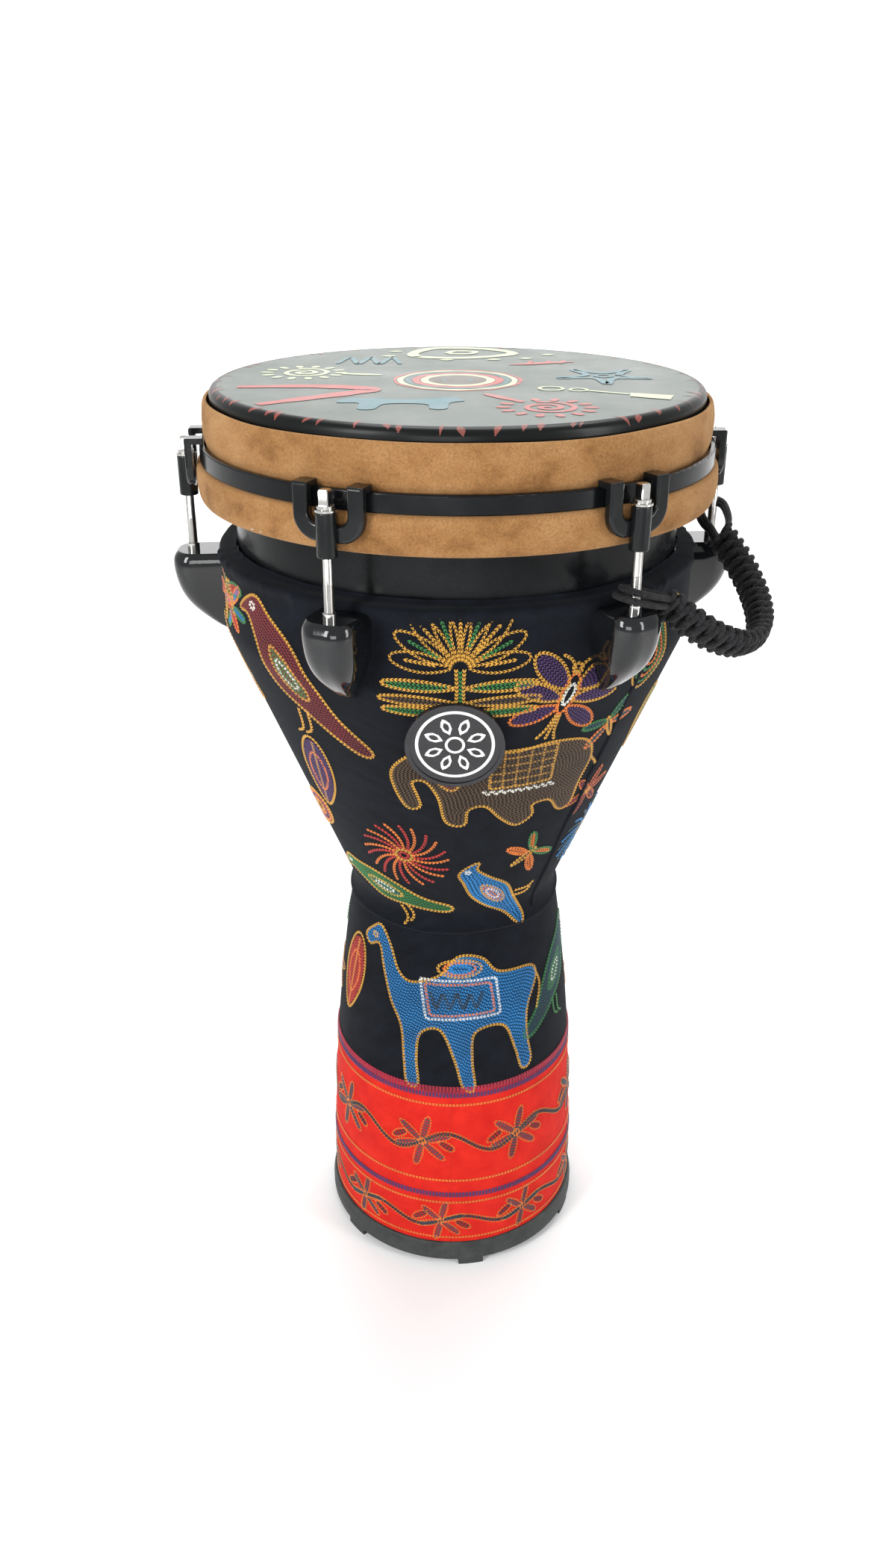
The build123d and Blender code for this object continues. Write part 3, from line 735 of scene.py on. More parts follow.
def stem_embroidery():
    """Pack animals and leaves round the stem."""
    s = Stitches()
    camel(Motif(s, 1, 0.229, 1.04))
    for angle in (-62, 118):
        long_leaf(Motif(s, angle, 0.232, 1.0, turn=-8), "red")
    for angle in (66, 246):
        bird(Motif(s, angle, 0.236, 1.1, turn=-12, flip=-1), "teal", "green", "green")
    camel(Motif(s, 180, 0.226, 0.92, flip=-1))
    star_flower(Motif(s, 96, 0.205, 0.8), "purple", "gold")
    star_flower(Motif(s, -90, 0.215, 1.0), "maroon", "gold")
    s.build("embroidery_stem", "shell")


def band_line(s, colour, z, width=1.0):
    """Line of stitch right round the border."""
    theta = np.linspace(0, 2 * math.pi, int(2 * math.pi * float(goblet_radius(z)) / Motif.PITCH) + 1)
    points, normals = surface_point(theta, np.full_like(theta, z), 0.0005)
    s.add(colour, points, normals, Motif.WIDTH * width)


def vine(s, z, height, flowers, phase):
    """Wavy stem with flowers on it and a leaf in each bend."""
    girth = 2 * math.pi * float(goblet_radius(z)) * 1000
    span = girth / flowers
    for k in range(flowers):
        m = Motif(s, phase + 360.0 / flowers * k, z)
        for shift, colour, width in ((-1.9, "orange", 0.5), (1.9, "orange", 0.5),
                                     (-0.6, "ink", 1.0), (0.6, "ink", 1.0)):
            m.line(colour, [(x, shift + height * math.sin(2 * math.pi * x / span))
                            for x in np.linspace(0, span, 13)], width=width)
        flower = Motif(s, phase + 360.0 / flowers * k, z, 1.12 if height > 6 else 0.95)
        star_flower(flower, "teal", "orange", "orange")
        for side in (1, -1):
            at = span * (0.25 if side > 0 else 0.75)
            m.petal((at - 6, side * height * 0.2), 55 if side < 0 else 125, 15, 6.5, "orange", fill="ink",
                    trim_width=0.5)


def border_embroidery():
    """Level lines and two flowered vines round the red border."""
    s = Stitches()
    for z, colour, width in ((0.1595, "purple", 1.2), (0.1575, "purple", 1.2), (0.1500, "orange", 0.9),
                             (0.0815, "orange", 0.9), (0.0690, "purple", 1.2), (0.0668, "purple", 1.2),
                             (0.0603, "orange", 0.9), (0.0255, "orange", 0.8)):
        band_line(s, colour, z, width)
    for z in (0.1625, 0.1645):
        band_line(s, "crimson", z, 1.5)
    vine(s, 0.116, 8.5, 8, -14)
    vine(s, 0.042, 5.0, 9, -5)
    s.build("embroidery_border", "shell")


# ---------------------------------------------------------------- cloth covers
def wander(theta, seed, waves=(3, 5, 8, 13), size=0.0004):
    """Smooth irregularity round the drum."""
    draw = np.random.default_rng(seed)
    return sum(size / k ** 0.5 * draw.normal() * np.sin(k * theta + draw.uniform(0, 6.28)) for k in waves)


def cloth_covers():
    """Border, stem and bowl cloths: sewn sheets stretched over the shell, with turned hems and laps."""
    foot_z = Z_FOOT + 0.0002
    rows = [(float(goblet_radius(z)) + CLOTH_FACE, z) for z in np.linspace(foot_z, Z_BORDER_TOP, 60)]
    border = lathe("cloth_border", rows, MATERIALS["border"], 320,
                   shift=lambda t, row: (wander(t, 3, size=0.0001), 0 * t))
    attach(border, "shell")
    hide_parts("border_cloth")

    rows = [(float(goblet_radius(z)) + CLOTH_FACE, z)
            for z in np.linspace(Z_BORDER_TOP - 0.003, Z_WAIST + 0.004, 60)]
    stem = lathe("cloth_stem", rows, MATERIALS["cloth"], 320,
                 shift=lambda t, row: (wander(t, 5, size=0.00025), 0 * t))
    stem_girth = 2 * math.pi * float(goblet_radius(0.2))
    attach(stem, "shell")
    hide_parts("stem_cloth")

    draw = np.random.default_rng(11)
    pleat_count = 34
    pleats = sorted(draw.uniform(0, 2 * math.pi, pleat_count))
    hem = [(R_BOWL + 0.0006, 0.5385), (R_BOWL + 0.0012, 0.5415), (R_BOWL + 0.0019, 0.5440),
           (R_BOWL + 0.0017, 0.5462), (R_BOWL - 0.0002, 0.5475), (R_BOWL - 0.004, 0.5478),
           (R_COLLAR + 0.0012, 0.5480), (R_COLLAR + 0.0008, 0.5500)]
    under = float(goblet_radius(Z_BOWL_CLOTH))
    edge = [(under + 0.0007, Z_BOWL_CLOTH + 0.0014), (under + 0.0016, Z_BOWL_CLOTH),
            (under + 0.0020, Z_BOWL_CLOTH + 0.0012)]
    body = [(float(goblet_radius(z) + cloth_lift(z)), z)
            for z in np.linspace(Z_BOWL_CLOTH + 0.003, 0.536, 110)]
    rows = edge + body + hem

    def drape(theta, row):
        """Wavy lower edge, slight slack on the cone, pleats gathered under the top edge."""
        z = rows[row][1]
        low = math.exp(-max(z - Z_BOWL_CLOTH, 0) / 0.010)
        top = math.exp(-((z - 0.5445) / 0.0075) ** 2)
        tucks = sum(np.exp(-((np.angle(np.exp(1j * (theta - p)))) / 0.028) ** 2) for p in pleats)
        gather = 0.0011 * tucks + wander(theta, 8, (7, 11, 17, 23), 0.0009)
        radial = 0.0004 * low * np.sin(3 * theta + 1) + top * gather
        height = low * wander(theta, 9, (2, 3, 5), 0.0016)
        return np.maximum(radial, -0.0003), height

    bowl = lathe("cloth_bowl", rows, MATERIALS["cloth"], 720, shift=drape)
    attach(bowl, "shell")
    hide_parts("bowl_cloth")

    lap = lap_seam(math.radians(47.5), 0.296, 0.5415)
    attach(lap, "shell")


def lap_seam(theta, low, high):
    """Folded edge where the bowl cloth laps over itself: a low ridge down the slope."""
    section = [(-0.0022, 0.0), (-0.0014, 0.0008), (0.0, 0.0012), (0.0012, 0.0011), (0.0018, 0.0)]
    heights = np.linspace(low, high, 90)
    drift = 0.0010 * np.sin(heights * 45) + 0.0006 * np.sin(heights * 130 + 1)
    points, uvs = [], []
    for across, lift in section:
        angle = theta + (across + drift) / goblet_radius(heights)
        point, _ = surface_point(angle, heights, 0.0007 + lift)
        points.append(point)
        uvs.append(np.stack([np.full_like(heights, across * 3), heights], axis=1))
    faces = grid_faces(len(section), len(heights), wrap=False)
    return make_object("cloth_bowl_lap", np.concatenate(points), faces, MATERIALS["cloth"],
                       uvs=np.concatenate(uvs))


def suede_cover():
    """Padded suede wrap: soft roll over the flesh hoop, tucked in above and below the counterhoop band."""
    rows = [(R_SUEDE_TOP - 0.0020, 0.6376), (R_SUEDE_TOP - 0.0008, 0.6381), (R_SUEDE_TOP + 0.0003, 0.6372),
            (R_SUEDE_TOP + 0.0010, 0.6345), (R_SUEDE_TOP + 0.0015, 0.6305), (R_SUEDE_TOP + 0.0018, 0.6260),
            (R_SUEDE_TOP + 0.0018, 0.6215), (R_SUEDE_TOP + 0.0014, 0.6175), (R_SUEDE_TOP + 0.0007, 0.6145),
            (R_SUEDE_TOP, 0.6125), (R_SUEDE_TOP, 0.6090), (R_SUEDE_TOP, 0.6040),
            (R_SUEDE_TOP + 0.0010, 0.6018),
            (R_BAND - 0.0040, 0.6014), (R_BAND - 0.0024, 0.6012), (R_BAND - 0.0011, 0.6004),
            (R_BAND - 0.0003, 0.5988), (R_BAND, 0.5960), (R_BAND + 0.0002, 0.5925), (R_BAND + 0.0001, 0.5890),
            (R_BAND - 0.0004, 0.5850), (R_BAND - 0.0012, 0.5818), (R_BAND - 0.0024, 0.5797),
            (R_BAND - 0.0040, 0.5788), (R_BAND - 0.0056, 0.5794), (R_BAND - 0.0066, 0.5815)]
    profile = resample(smooth_curve(rows, steps=5), 0.0009)

    def crumple(theta, row):
        z = profile[row][1]
        upper = math.exp(-((z - 0.627) / 0.007) ** 2)
        lower = math.exp(-((z - 0.589) / 0.008) ** 2)
        lip = math.exp(-((z - 0.638) / 0.0018) ** 2)
        soft = (upper * wander(theta + 6 * z, 21, (9, 14, 22, 37, 51), 0.0006)
                + lower * wander(theta - 4 * z, 22, (8, 13, 21, 34), 0.0005))
        dents = sum(np.exp(-(np.angle(np.exp(1j * (theta - math.radians(a)))) / 0.085) ** 2)
                    for a in ROD_ANGLES)
        return np.minimum(soft - 0.0006 * upper * dents, 0.0004), lip * wander(theta, 24, (6, 10, 17), 0.0004)

    wrap = lathe("suede_cover", profile, MATERIALS["suede"], 640, shift=crumple)
    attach(wrap, "tuning_hoop")
    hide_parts("suede_wrap")


# ---------------------------------------------------------------- print on the head
class HeadPrint:
    """Flat shapes just above the film, in polar or drawing coordinates in millimetres."""

    def __init__(self):
        self.level = 0

    def next_level(self):
        """Each shape lies a hair above the one before."""
        self.level += 1
        return Z_FILM + PRINT_LIFT + PRINT_STEP * self.level

    def lay(self, name, points, faces, material):
        """Flat piece that stays with the film."""
        piece = make_object(name, points, faces, material, smooth=False)
        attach(piece, "shell")

    def sheet(self, name, outline, material, holes=False):
        """One flat face inside an outline, or a strip between an inner and an outer one."""
        z = self.next_level()
        outline = np.asarray(outline, dtype=float) / 1000
        if holes:
            inner, outer = outline
            count = len(inner)
            points = [(x, y, z) for x, y in np.concatenate([inner, outer])]
            faces = [(count + k, count + (k + 1) % count, (k + 1) % count, k) for k in range(count)]
        else:
            points = [(x, y, z) for x, y in outline]
            faces = [tuple(range(len(outline)))]
        self.lay(name, points, faces, material)

    def ring(self, name, centre, radius, width, material, count=160, wobble=0.0):
        t = np.linspace(0, 2 * math.pi, count, endpoint=False)
        uneven = 1 + wobble * np.sin(5 * t + radius) + wobble * np.sin(11 * t)
        inner = [(centre[0] + (radius - width / 2) * c, centre[1] + (radius - width / 2) * s)
                 for c, s in zip(np.cos(t), np.sin(t))]
        outer = [(centre[0] + (radius + width / 2) * c * u, centre[1] + (radius + width / 2) * s * u)
                 for c, s, u in zip(np.cos(t), np.sin(t), uneven)]
        self.sheet(name, [inner, outer], material, holes=True)

    def stroke(self, name, route, width, material, closed=False, taper=0.0):
        """Painted line of a given width."""
        line = resample(smooth_curve(route, closed), 1.2)
        step = np.gradient(line, axis=0)
        step /= np.maximum(np.linalg.norm(step, axis=1, keepdims=True), 1e-9)
        side = np.stack([-step[:, 1], step[:, 0]], axis=1)
        run = np.linspace(0, 1, len(line))
        narrow = (1 - taper * np.abs(2 * run - 1) ** 2)[:, None]
        uneven = (1 + 0.08 * np.sin(run * 40))[:, None]
        half = width / 2 * narrow * uneven
        z = self.next_level()
        left, right = (line + side * half) / 1000, (line - side * half) / 1000
        points = [(x, y, z) for x, y in np.concatenate([left, right])]
        count = len(line)
        faces = [(k, count + k, count + k + 1, k + 1) for k in range(count - 1)]
        self.lay(name, points, faces, material)


def shoulder_mark(name, angle, turn, low, high, width, material):
    """Brush mark across the film's rounded shoulder, at an angle in degrees from the front."""
    steps = np.linspace(0, 1, 12)
    along = low + (high - low) * steps
    bend = np.clip(along / 5.0, 0, math.pi / 2)
    outside = 0.00512
    flat = R_HEAD - SHOULDER
    radius = np.where(along < 0, flat + along / 1000, flat + outside * np.sin(bend))
    z = np.where(along < 0, Z_FILM + PRINT_LIFT, Z_FILM - SHOULDER + outside * np.cos(bend))
    half = width / 2000 * np.sin(math.pi * np.clip(steps, 0.06, 0.94)) / R_HEAD
    points = []
    for side in (-1, 1):
        theta = math.radians(angle) + turn * (steps - 0.5) + side * half
        points += [(r * math.sin(t), -r * math.cos(t), h) for t, r, h in zip(theta, radius, z)]
    count = len(steps)
    faces = [(k, k + 1, count + k + 1, count + k) for k in range(count - 1)]
    mark = make_object(name, points, faces, material)
    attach(mark, "shell")


def spiral_sun(p, name, centre, radius, ink, tail):
    """Spiral in a ring of short rays, with a tail."""
    centre = np.array(centre, dtype=float)
    turns = np.linspace(0.5, 4.6 * math.pi, 60)
    pitch = radius * 0.62 / turns[-1]
    coil = [centre + pitch * t * np.array([math.cos(t), math.sin(t)]) for t in turns]
    p.stroke(f"{name}_spiral", coil, radius * 0.13, ink)
    for k in range(14):
        a = 2 * math.pi * k / 14
        arm = np.array([math.cos(a), math.sin(a)])
        ray = [centre + radius * 0.72 * arm, centre + radius * 1.02 * arm]
        p.stroke(f"{name}_ray_{k}", ray, radius * 0.2, ink, taper=0.6)
    streak = [centre + np.array(tail) * f for f in (0.5, 0.75, 1.0)]
    p.stroke(f"{name}_tail", streak, radius * 0.22, ink, taper=0.4)


def print_on_head():
    """Printed figures round a target, on the film's face: X to the right, Y to the back, millimetres."""
    p = HeadPrint()
    inks = {name: film_material(f"print_{name}", colour, fade) for name, colour, fade in (
        ("red", (0.42, 0.075, 0.065), 0.25), ("teal", (0.055, 0.135, 0.140), 0.3),
        ("blue", (0.060, 0.170, 0.200), 0.3), ("cream", (0.50, 0.54, 0.34), 0.15),
        ("brown", (0.10, 0.070, 0.050), 0.3), ("rust", (0.25, 0.050, 0.040), 0.6))}
    for radius, width, ink in ((39, 2.0, "red"), (35.5, 3.6, "cream"), (31, 4.0, "teal"), (26, 5.0, "red"),
                               (20.5, 5.0, "cream"), (9, 17.5, "brown"), (9, 1.4, "teal")):
        p.ring(f"print_target_{ink}_{int(radius)}", (0, 0), radius, width, inks[ink], wobble=0.008)
    spiral_sun(p, "print_pale_sun", (-98, 26), 27, inks["cream"], (50, -8))
    spiral_sun(p, "print_red_sun", (50, -92), 28, inks["red"], (-34, 42))
    chevron = [(-132, -30), (-92, -26), (-62, -30), (-52, -38), (-64, -50), (-92, -72), (-112, -88)]
    p.stroke("print_chevron", chevron, 13, inks["red"], taper=0.5)
    shape = [(-34, 2), (-30, 14), (-16, 16), (2, 12), (18, 15), (30, 20), (38, 10), (30, 2), (28, -16),
             (19, -16), (16, -2), (-6, -2), (-12, -18), (-21, -18), (-22, 0)]
    beast = smooth_curve([(x - 34, y - 82) for x, y in shape], True)
    p.sheet("print_beast", beast, inks["blue"])
    eye = smooth_curve([(-26, 96), (6, 92), (38, 112), (22, 134), (-14, 138), (-30, 116)], True)
    p.stroke("print_eye_lid", eye[::8], 8, inks["cream"], closed=True)
    p.stroke("print_eye_pupil", [(-6, 112), (8, 112), (12, 122), (-2, 124)], 5, inks["cream"], closed=True)
    for k, (x, y) in enumerate(((-48, 98), (-44, 120), (46, 90), (62, 108), (-8, 82), (24, 84))):
        p.stroke(f"print_drop_{k}", [(x - 4, y), (x + 5, y + 2)], 6, inks["cream"], taper=0.7)
    star = [(92 + (30 if k % 2 else 11) * math.cos(math.pi * k / 5 + 0.3),
             18 + (30 if k % 2 else 11) * math.sin(math.pi * k / 5 + 0.3)) for k in range(10)]
    p.stroke("print_star", star, 5, inks["blue"], closed=True)
    p.ring("print_star_eye", (92, 18), 5, 3, inks["blue"])
    p.ring("print_bell_ring", (56, -30), 7, 2.4, inks["cream"])
    p.ring("print_bell_bead", (72, -34), 5, 2.0, inks["cream"])
    p.stroke("print_bell_stem", [(76, -36), (92, -44), (104, -50)], 3, inks["cream"])
    p.sheet("print_bell_foot", [(102, -44), (126, -52), (122, -66), (100, -56)], inks["cream"])
    p.stroke("print_lizard", [(34, 62), (48, 66), (62, 72), (78, 76)], 7, inks["red"], taper=0.8)
    for k, x in enumerate((46, 58, 68)):
        leg = [(x, 60 + x * 0.12), (x + 4, 74 + x * 0.12)]
        p.stroke(f"print_lizard_leg_{k}", leg, 3, inks["red"], taper=0.5)
    grass = [(-80 + 7 * k, 92 if k % 2 else 64) for k in range(7)]
    p.stroke("print_grass", grass, 4, inks["blue"], taper=0.3)
    cover = 0.00508
    profile = [(R_HEAD - SHOULDER + cover * math.sin(a), Z_FILM - SHOULDER + cover * math.cos(a))
               for a in np.linspace(0, math.pi / 2, 12)] + [(R_HEAD + 0.00008, Z_SHOULDER_LOW)]
    shoulder = lathe("film_shoulder", profile, film_material("film_dark", (0.0045, 0.0055, 0.0055)), 256)
    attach(shoulder, "shell")
    draw = random.Random(5)
    for k in range(64):
        shoulder_mark(f"print_shoulder_{k}", 360 / 64 * k + draw.uniform(-3, 3), draw.uniform(-0.03, 0.03),
                      draw.uniform(-7, 1), draw.uniform(4, 7), draw.uniform(1.2, 5.5), inks["rust"])


# ---------------------------------------------------------------- hardware
def tube(name, line, radius, material, sides=14):
    """Round tube along points, ends capped."""
    line = np.asarray(line, dtype=float)
    step = np.gradient(line, axis=0)
    step /= np.linalg.norm(step, axis=1, keepdims=True)
    up = np.array([0.0, 0.0, 1.0]) if abs(step[0][2]) < 0.9 else np.array([0.0, 1.0, 0.0])
    first = np.cross(up, step[0])
    first /= np.linalg.norm(first)
    run = np.concatenate([[0], np.cumsum(np.linalg.norm(np.diff(line, axis=0), axis=1))])
    points, uvs = [], []
    for k, (centre, way) in enumerate(zip(line, step)):
        first = first - way * np.dot(first, way)
        first /= np.linalg.norm(first)
        second = np.cross(way, first)
        for j in range(sides):
            t = 2 * math.pi * j / sides
            points.append(centre + radius * (math.cos(t) * first + math.sin(t) * second))
            uvs.append((j / sides, run[k]))
    count = len(line)
    faces = grid_faces(count, sides)
    faces.append(tuple(reversed(range(sides))))
    faces.append(tuple((count - 1) * sides + j for j in range(sides)))
    return make_object(name, points, faces, material, uvs=uvs)


def threaded_rod(index):
    """Tension rod: square key, collar, plain shank and a cut screw thread below."""
    theta = math.radians(ROD_ANGLES[index])
    node = f"tension_rod_{index + 1}"
    low, high = (corner[2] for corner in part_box(node))
    sides, pitch, crest, root = 36, 0.001, 0.0030, 0.00262
    shank, collar_edge, collar, key = 0.0027, 0.0047, 0.0050, 0.0030
    thread_run = 0.0463
    thread_top = low + thread_run
    rows = [(0.0018, low), (0.0024, low + 0.0004)]
    rows += [(None, z) for z in np.arange(low + 0.0008, thread_top, pitch / 6)]
    rows += [(shank, thread_top + 0.0002), (shank, high - 0.0111), (shank, high - 0.01061),
             (collar_edge, high - 0.0106), (collar, high - 0.0103), (collar, high - 0.0089),
             (collar_edge, high - 0.0086), (0.0032, high - 0.00858)]
    points = []
    for radius, z in rows:
        for j in range(sides):
            a = 2 * math.pi * j / sides
            r = radius
            if r is None:
                phase = ((z - low) / pitch - a / (2 * math.pi)) % 1.0
                r = root + (crest - root) * (1 - abs(2 * phase - 1)) ** 0.8
            points.append((r * math.cos(a), r * math.sin(a), z))
    faces = grid_faces(len(rows), sides)
    faces.append(tuple(reversed(range(sides))))
    key_low = len(points)
    for half, z in ((key, high - 0.0087), (key, high - 0.0012), (0.0026, high - 0.0003),
                    (0.0019, high)):
        bevel = half * 0.82
        for x, y in ((half, -bevel), (half, bevel), (bevel, half), (-bevel, half),
                     (-half, bevel), (-half, -bevel), (-bevel, -half), (bevel, -half)):
            points.append((x, y, z))
    faces += [tuple(key_low + v for v in face) for face in grid_faces(4, 8)]
    faces.append(tuple(key_low + 24 + j for j in range(8)))
    centre = np.array(around_point(theta, R_RODS, 0.0), dtype=float)
    turned = [(p[0] * math.cos(theta) - p[1] * math.sin(theta) + centre[0],
               p[0] * math.sin(theta) + p[1] * math.cos(theta) + centre[1], p[2]) for p in points]
    rod = make_object(f"rod_thread_{index + 1}", turned, faces, MATERIALS["chrome"])
    edges = rod.modifiers.new("edges", "EDGE_SPLIT")
    edges.split_angle = math.radians(32)
    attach(rod, f"rod_{index + 1}")
    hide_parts(node)


def badge_emblem():
    """White ring and a plain rosette printed on the oval badge, following its face."""
    z0 = 0.461
    low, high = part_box("badge_face")
    reach_x, reach_z = (high[0] - low[0]) / 2, (high[2] - low[2]) / 2
    white, tree, shader = new_material("badge_white")
    set_inputs(shader, Roughness=0.35, Coat_Weight=0.3)
    cloud = noise_node(tree, 120, detail=5)
    colour_by(tree, shader, cloud, [(0.3, (0.55, 0.56, 0.55)), (0.7, (0.78, 0.79, 0.77))])
    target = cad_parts["badge_face"]
    depsgraph = bpy.context.evaluated_depsgraph_get()
    inverse = target.matrix_world.inverted()

    def on_face(x, z, lift):
        """Point of the badge face straight behind x and z, raised by lift."""
        start, way = inverse @ Vector((x, -0.3, z)), inverse.to_3x3() @ Vector((0, 1, 0))
        hit, place, _, _ = target.ray_cast(start, way, depsgraph=depsgraph)
        if not hit:
            raise ValueError("the emblem reaches past the badge face")
        return target.matrix_world @ place + Vector((0, -lift, 0))

    shapes = []
    turn = np.linspace(0, 2 * math.pi, 96, endpoint=False)
    for inner, outer in ((0.80, 0.87), (0.16, 0.22)):
        shapes.append([[(s * math.cos(t), s * math.sin(t)) for t in turn] for s in (inner, outer)])
    for k in range(8):
        a = 2 * math.pi * k / 8 + math.pi / 8
        cos, sin = math.cos(a), math.sin(a)
        leaf = [(0.28, 0.0), (0.42, 0.10), (0.56, 0.11), (0.66, 0.06), (0.72, 0.0), (0.66, -0.06),
                (0.56, -0.11), (0.42, -0.10)]
        edge = [(s * cos - w * sin, s * sin + w * cos) for s, w in leaf]
        mid = [(0.5 * cos + 0.55 * (x - 0.5 * cos), 0.5 * sin + 0.55 * (y - 0.5 * sin)) for x, y in edge]
        shapes.append([mid, edge])
    points, faces = [], []
    for inner, outer in shapes:
        count, base = len(inner), len(points)
        for x, z in inner + outer:
            place = on_face(x * reach_x, z0 + z * reach_z, PRINT_LIFT)
            points.append(tuple(place))
        faces += [(base + k, base + (k + 1) % count, base + count + (k + 1) % count, base + count + k)
                  for k in range(count)]
    emblem = make_object("badge_emblem", points, faces, white, smooth=False)
    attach(emblem, "shell")


# ---------------------------------------------------------------- cord handle
HANDLE_ROUTE = [(-66, 14), (-63.5, 28), (-56, 49), (-38, 66), (-12, 72), (15, 65), (37, 50.5), (53, 33),
                (63, 14)]
HANDLE_ORIGIN = np.array((0.134101, -0.059705, 0.55625))
HANDLE_X = np.array((0.406099, 0.912114, 0.055959))
HANDLE_Y = np.array((0.733897, -0.289039, -0.614697))
HANDLE_Z = np.array((-0.544499, 0.290696, -0.786776))
HANDLE_RODS = ((1, 0.5515), (2, 0.5610))
LOOP_RADIUS = 0.0074


def on_handle(x, y):
    """Point of the handle's plane, from millimetres along and out of it."""
    return HANDLE_ORIGIN + HANDLE_X * x / 1000 + HANDLE_Y * y / 1000


def nurbs_line(name, points, step):
    """Evenly spaced points along a NURBS line through the route."""
    curve = bpy.data.curves.new(name, "CURVE")
    curve.dimensions = "3D"
    spline = curve.splines.new("NURBS")
    spline.points.add(len(points) - 1)
    for point, place in zip(spline.points, points):
        point.co = (*place, 1.0)
    spline.order_u = 3
    spline.use_endpoint_u = True
    spline.resolution_u = 16
    carrier = bpy.data.objects.new(name, curve)
    bpy.context.collection.objects.link(carrier)
    bpy.context.view_layer.update()
    mesh = bpy.data.meshes.new_from_object(carrier)
    line = np.array([tuple(v.co) for v in mesh.vertices])
    bpy.data.objects.remove(carrier)
    bpy.data.meshes.remove(mesh)
    return resample(line, step)


def joined(name, parts):
    """One mesh out of several mesh objects of the same material."""
    vertices, faces, uvs, base = [], [], [], 0
    for part in parts:
        mesh = part.data
        vertices += [tuple(v.co) for v in mesh.vertices]
        faces += [tuple(base + v for v in face.vertices) for face in mesh.polygons]
        layer, at = mesh.uv_layers[0].data, {}
        for loop in mesh.loops:
            at[loop.vertex_index] = tuple(layer[loop.index].uv)
        uvs += [at[k] for k in range(len(mesh.vertices))]
        base += len(mesh.vertices)
        material = mesh.materials[0]
        bpy.data.objects.remove(part)
    return make_object(name, vertices, faces, material, uvs=uvs)


def cord_handle():
    """Hand loop on two rods: a flat plaited strap, with two cord eyes at each end."""
    centre = nurbs_line("handle_route", [on_handle(x, y) for x, y in HANDLE_ROUTE], 0.0008)
    way = np.gradient(centre, axis=0)
    way /= np.linalg.norm(way, axis=1, keepdims=True)
    across = np.tile(HANDLE_Z, (len(centre), 1))
    through = np.cross(way, across)
    run = np.arange(len(centre)) * np.linalg.norm(centre[1] - centre[0])
    half_wide, half_thick, wrap, swell = 0.0078, 0.0032, 0.0142, 0.0011
    strand_radius, core_radius, core_gap = 0.00215, 0.0024, 0.003
    draw = np.random.default_rng(31)
    jitter = np.interp(run, run[::12], draw.normal(0, 0.05, len(run[::12])))
    strands = []
    for hand in (1, -1):
        for k in range(2):
            angle = hand * (2 * math.pi * run / wrap + jitter) + math.pi * k
            lift = hand * swell * np.cos(4 * math.pi * run / wrap)
            line = (centre + across * ((half_wide + lift) * np.cos(angle))[:, None]
                    + through * ((half_thick + lift) * np.sin(angle))[:, None])
            strands.append(tube("strand", line, strand_radius, MATERIALS["cord"], sides=10))
    core = centre[2:-2]
    for side in (-1, 1):
        line = core + across[2:-2] * core_gap * side
        strands.append(tube("strand", line, core_radius, MATERIALS["cord"], sides=10))
    braid = joined("handle_plait", strands)
    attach(braid, "handle")
    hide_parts("handle_braid")
    eyes = [cord_eye(k, rod, z, end)
            for k, ((rod, z), end) in enumerate(zip(HANDLE_RODS, (centre[0], centre[-1])))]


def cord_eye(index, rod, z, end):
    """Two loops of the strap's own cord round a tension rod, one on the other."""
    node = ("handle_loop_front", "handle_loop_back")[index]
    theta = math.radians(ROD_ANGLES[rod])
    anchor = np.array(around_point(theta, R_RODS, z), dtype=float)
    out = end - anchor
    reach = np.linalg.norm(out)
    out /= reach
    side = np.cross((0.0, 0.0, 1.0), out)
    side /= np.linalg.norm(side)
    above = np.cross(out, side)
    parts = []
    for level in (-1, 1):
        slack = 0.0012 * level
        half = [(reach + 0.007, 0.0035), (reach - 0.002, 0.0044), (reach * 0.55, 0.0085),
                (0.004, LOOP_RADIUS * 1.25), (-LOOP_RADIUS, LOOP_RADIUS * 1.1)]
        route = half + [(-LOOP_RADIUS * 1.42, 0.0)] + [(x, -y) for x, y in reversed(half)]
        points = [anchor + out * (x + slack) + side * y * (1 - 0.04 * level)
                  + above * (level * 0.00205 + 0.0005 * math.sin(60 * x + level)) for x, y in route]
        cord = nurbs_line("eye_route", points, 0.0009)
        parts.append(tube("eye", cord, 0.00195, MATERIALS["cord"], sides=12))
    eye = joined(f"handle_eye_{index + 1}", parts)
    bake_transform(eye)
    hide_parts(node)
    return eye


# ---------------------------------------------------------------- the whole drum
def dress_hardware():
    """Finishes of the pieces that stay as they are."""
    for node, key in (("shell", "collar"), ("foot_ring", "rubber"), ("drumhead", "film"),
                      ("flesh_hoop", "steel"), ("counterhoop", "hoop"), ("rod_washers", "chrome"),
                      ("lug_nuts", "chrome"), ("lug_screws", "steel"), ("lug_screw_washers", "steel"),
                      ("badge_base", "badge"), ("badge_face", "badge"), ("badge_rim", "badge")):
        dress(node, key)
    for k in range(1, 7):
        dress(f"claw_{k}", "claw")
        dress(f"lug_{k}", "lug")


dress_hardware()
cloth_covers()
suede_cover()
print_on_head()
bowl_embroidery()
stem_embroidery()
border_embroidery()
for rod_index in range(6):
    threaded_rod(rod_index)
badge_emblem()
cord_handle()


# ---------------------------------------------------------------- floor, light and camera
def area_light(name, place, target, size, power, colour=(1.0, 1.0, 1.0)):
    light = bpy.data.lights.new(name, "AREA")
    light.shape = "RECTANGLE"
    light.size, light.size_y = size
    light.energy = power
    light.color = colour
    obj = bpy.data.objects.new(name, light)
    obj.location = place
    obj.rotation_euler = (Vector(target) - Vector(place)).to_track_quat("-Z", "Y").to_euler()
    bpy.context.collection.objects.link(obj)
    return obj


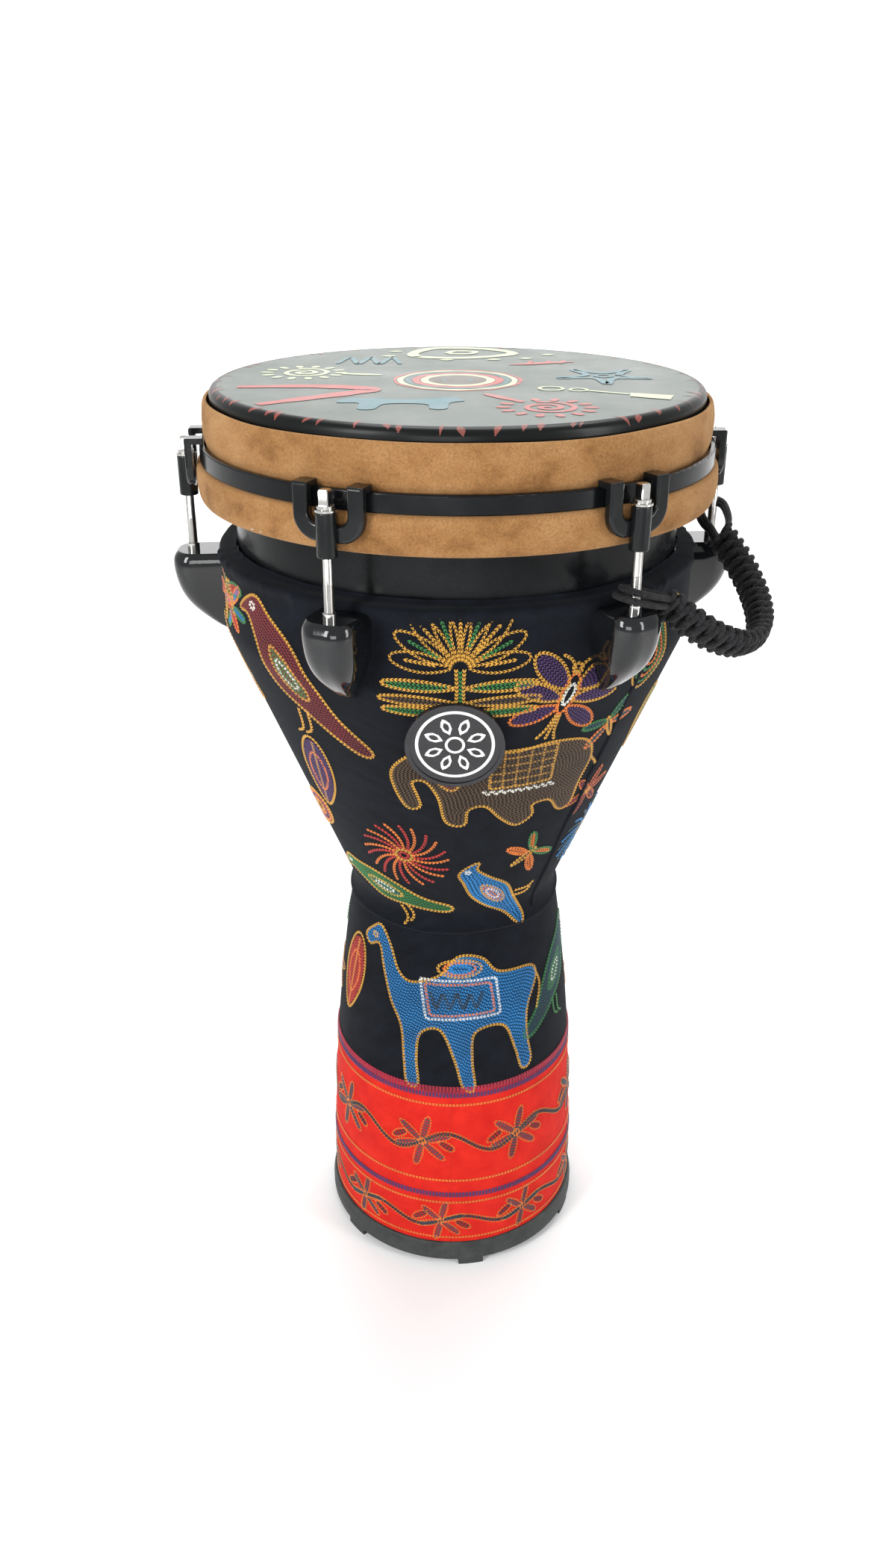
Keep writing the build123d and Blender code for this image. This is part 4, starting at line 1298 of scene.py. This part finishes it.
def studio():
    """Plain pale floor under soft boxes, seen from the front and above."""
    floor_material, tree, shader = new_material("floor")
    set_inputs(shader, Roughness=0.9, Specular_IOR_Level=0.1)
    cloud = noise_node(tree, 3, detail=2)
    colour_by(tree, shader, cloud, [(0.3, (0.86, 0.86, 0.86)), (0.7, (0.88, 0.88, 0.88))])
    bend = [(-7.0, 0.0), (3.0, 0.0)] + [(3.0 + 1.5 * math.sin(a), 1.5 - 1.5 * math.cos(a))
                                        for a in np.linspace(0.1, math.pi / 2, 14)] + [(4.5, 5.0)]
    points = [(x, y, z) for y, z in bend for x in (-8.0, 8.0)]
    faces = [(2 * k, 2 * k + 1, 2 * k + 3, 2 * k + 2) for k in range(len(bend) - 1)]
    floor = make_object("floor", points, faces, floor_material)

    world = bpy.data.worlds.new("studio")
    world.use_nodes = True
    world.node_tree.nodes["Background"].inputs["Color"].default_value = (1.0, 1.0, 1.0, 1.0)
    world.node_tree.nodes["Background"].inputs["Strength"].default_value = 0.6
    bpy.context.scene.world = world

    area_light("key_left", (-1.3, -1.4, 1.15), (0, 0, 0.5), (0.5, 1.3), 30)
    area_light("fill_right", (1.6, -0.9, 0.9), (0, 0, 0.4), (0.4, 1.4), 16)
    area_light("front_low", (-0.25, -2.0, 0.55), (0, 0, 0.3), (0.9, 0.5), 8)
    area_light("top", (0.1, 0.5, 1.9), (0, 0, 0.6), (1.2, 0.8), 20)
    area_light("backdrop", (0.0, 2.2, 3.0), (0, 4.5, 0.9), (3.0, 0.6), 130)

    lens = bpy.data.cameras.new("camera")
    lens.sensor_width = 36.0
    lens.lens = LENS_MM
    lens.clip_start, lens.clip_end = 0.01, 50
    camera = bpy.data.objects.new("camera", lens)
    yaw, pitch, roll = math.radians(CAMERA_YAW), math.radians(CAMERA_PITCH), math.radians(CAMERA_ROLL)
    camera.matrix_world = (Matrix.Translation((0.0, -CAMERA_DISTANCE, CAMERA_HEIGHT))
                           @ Matrix.Rotation(yaw, 4, "Z")
                           @ Matrix.Rotation(math.pi / 2 - pitch, 4, "X")
                           @ Matrix.Rotation(roll, 4, "Z"))
    bpy.context.collection.objects.link(camera)
    bpy.context.scene.camera = camera
    bpy.context.scene.view_settings.view_transform = "Standard"


studio()
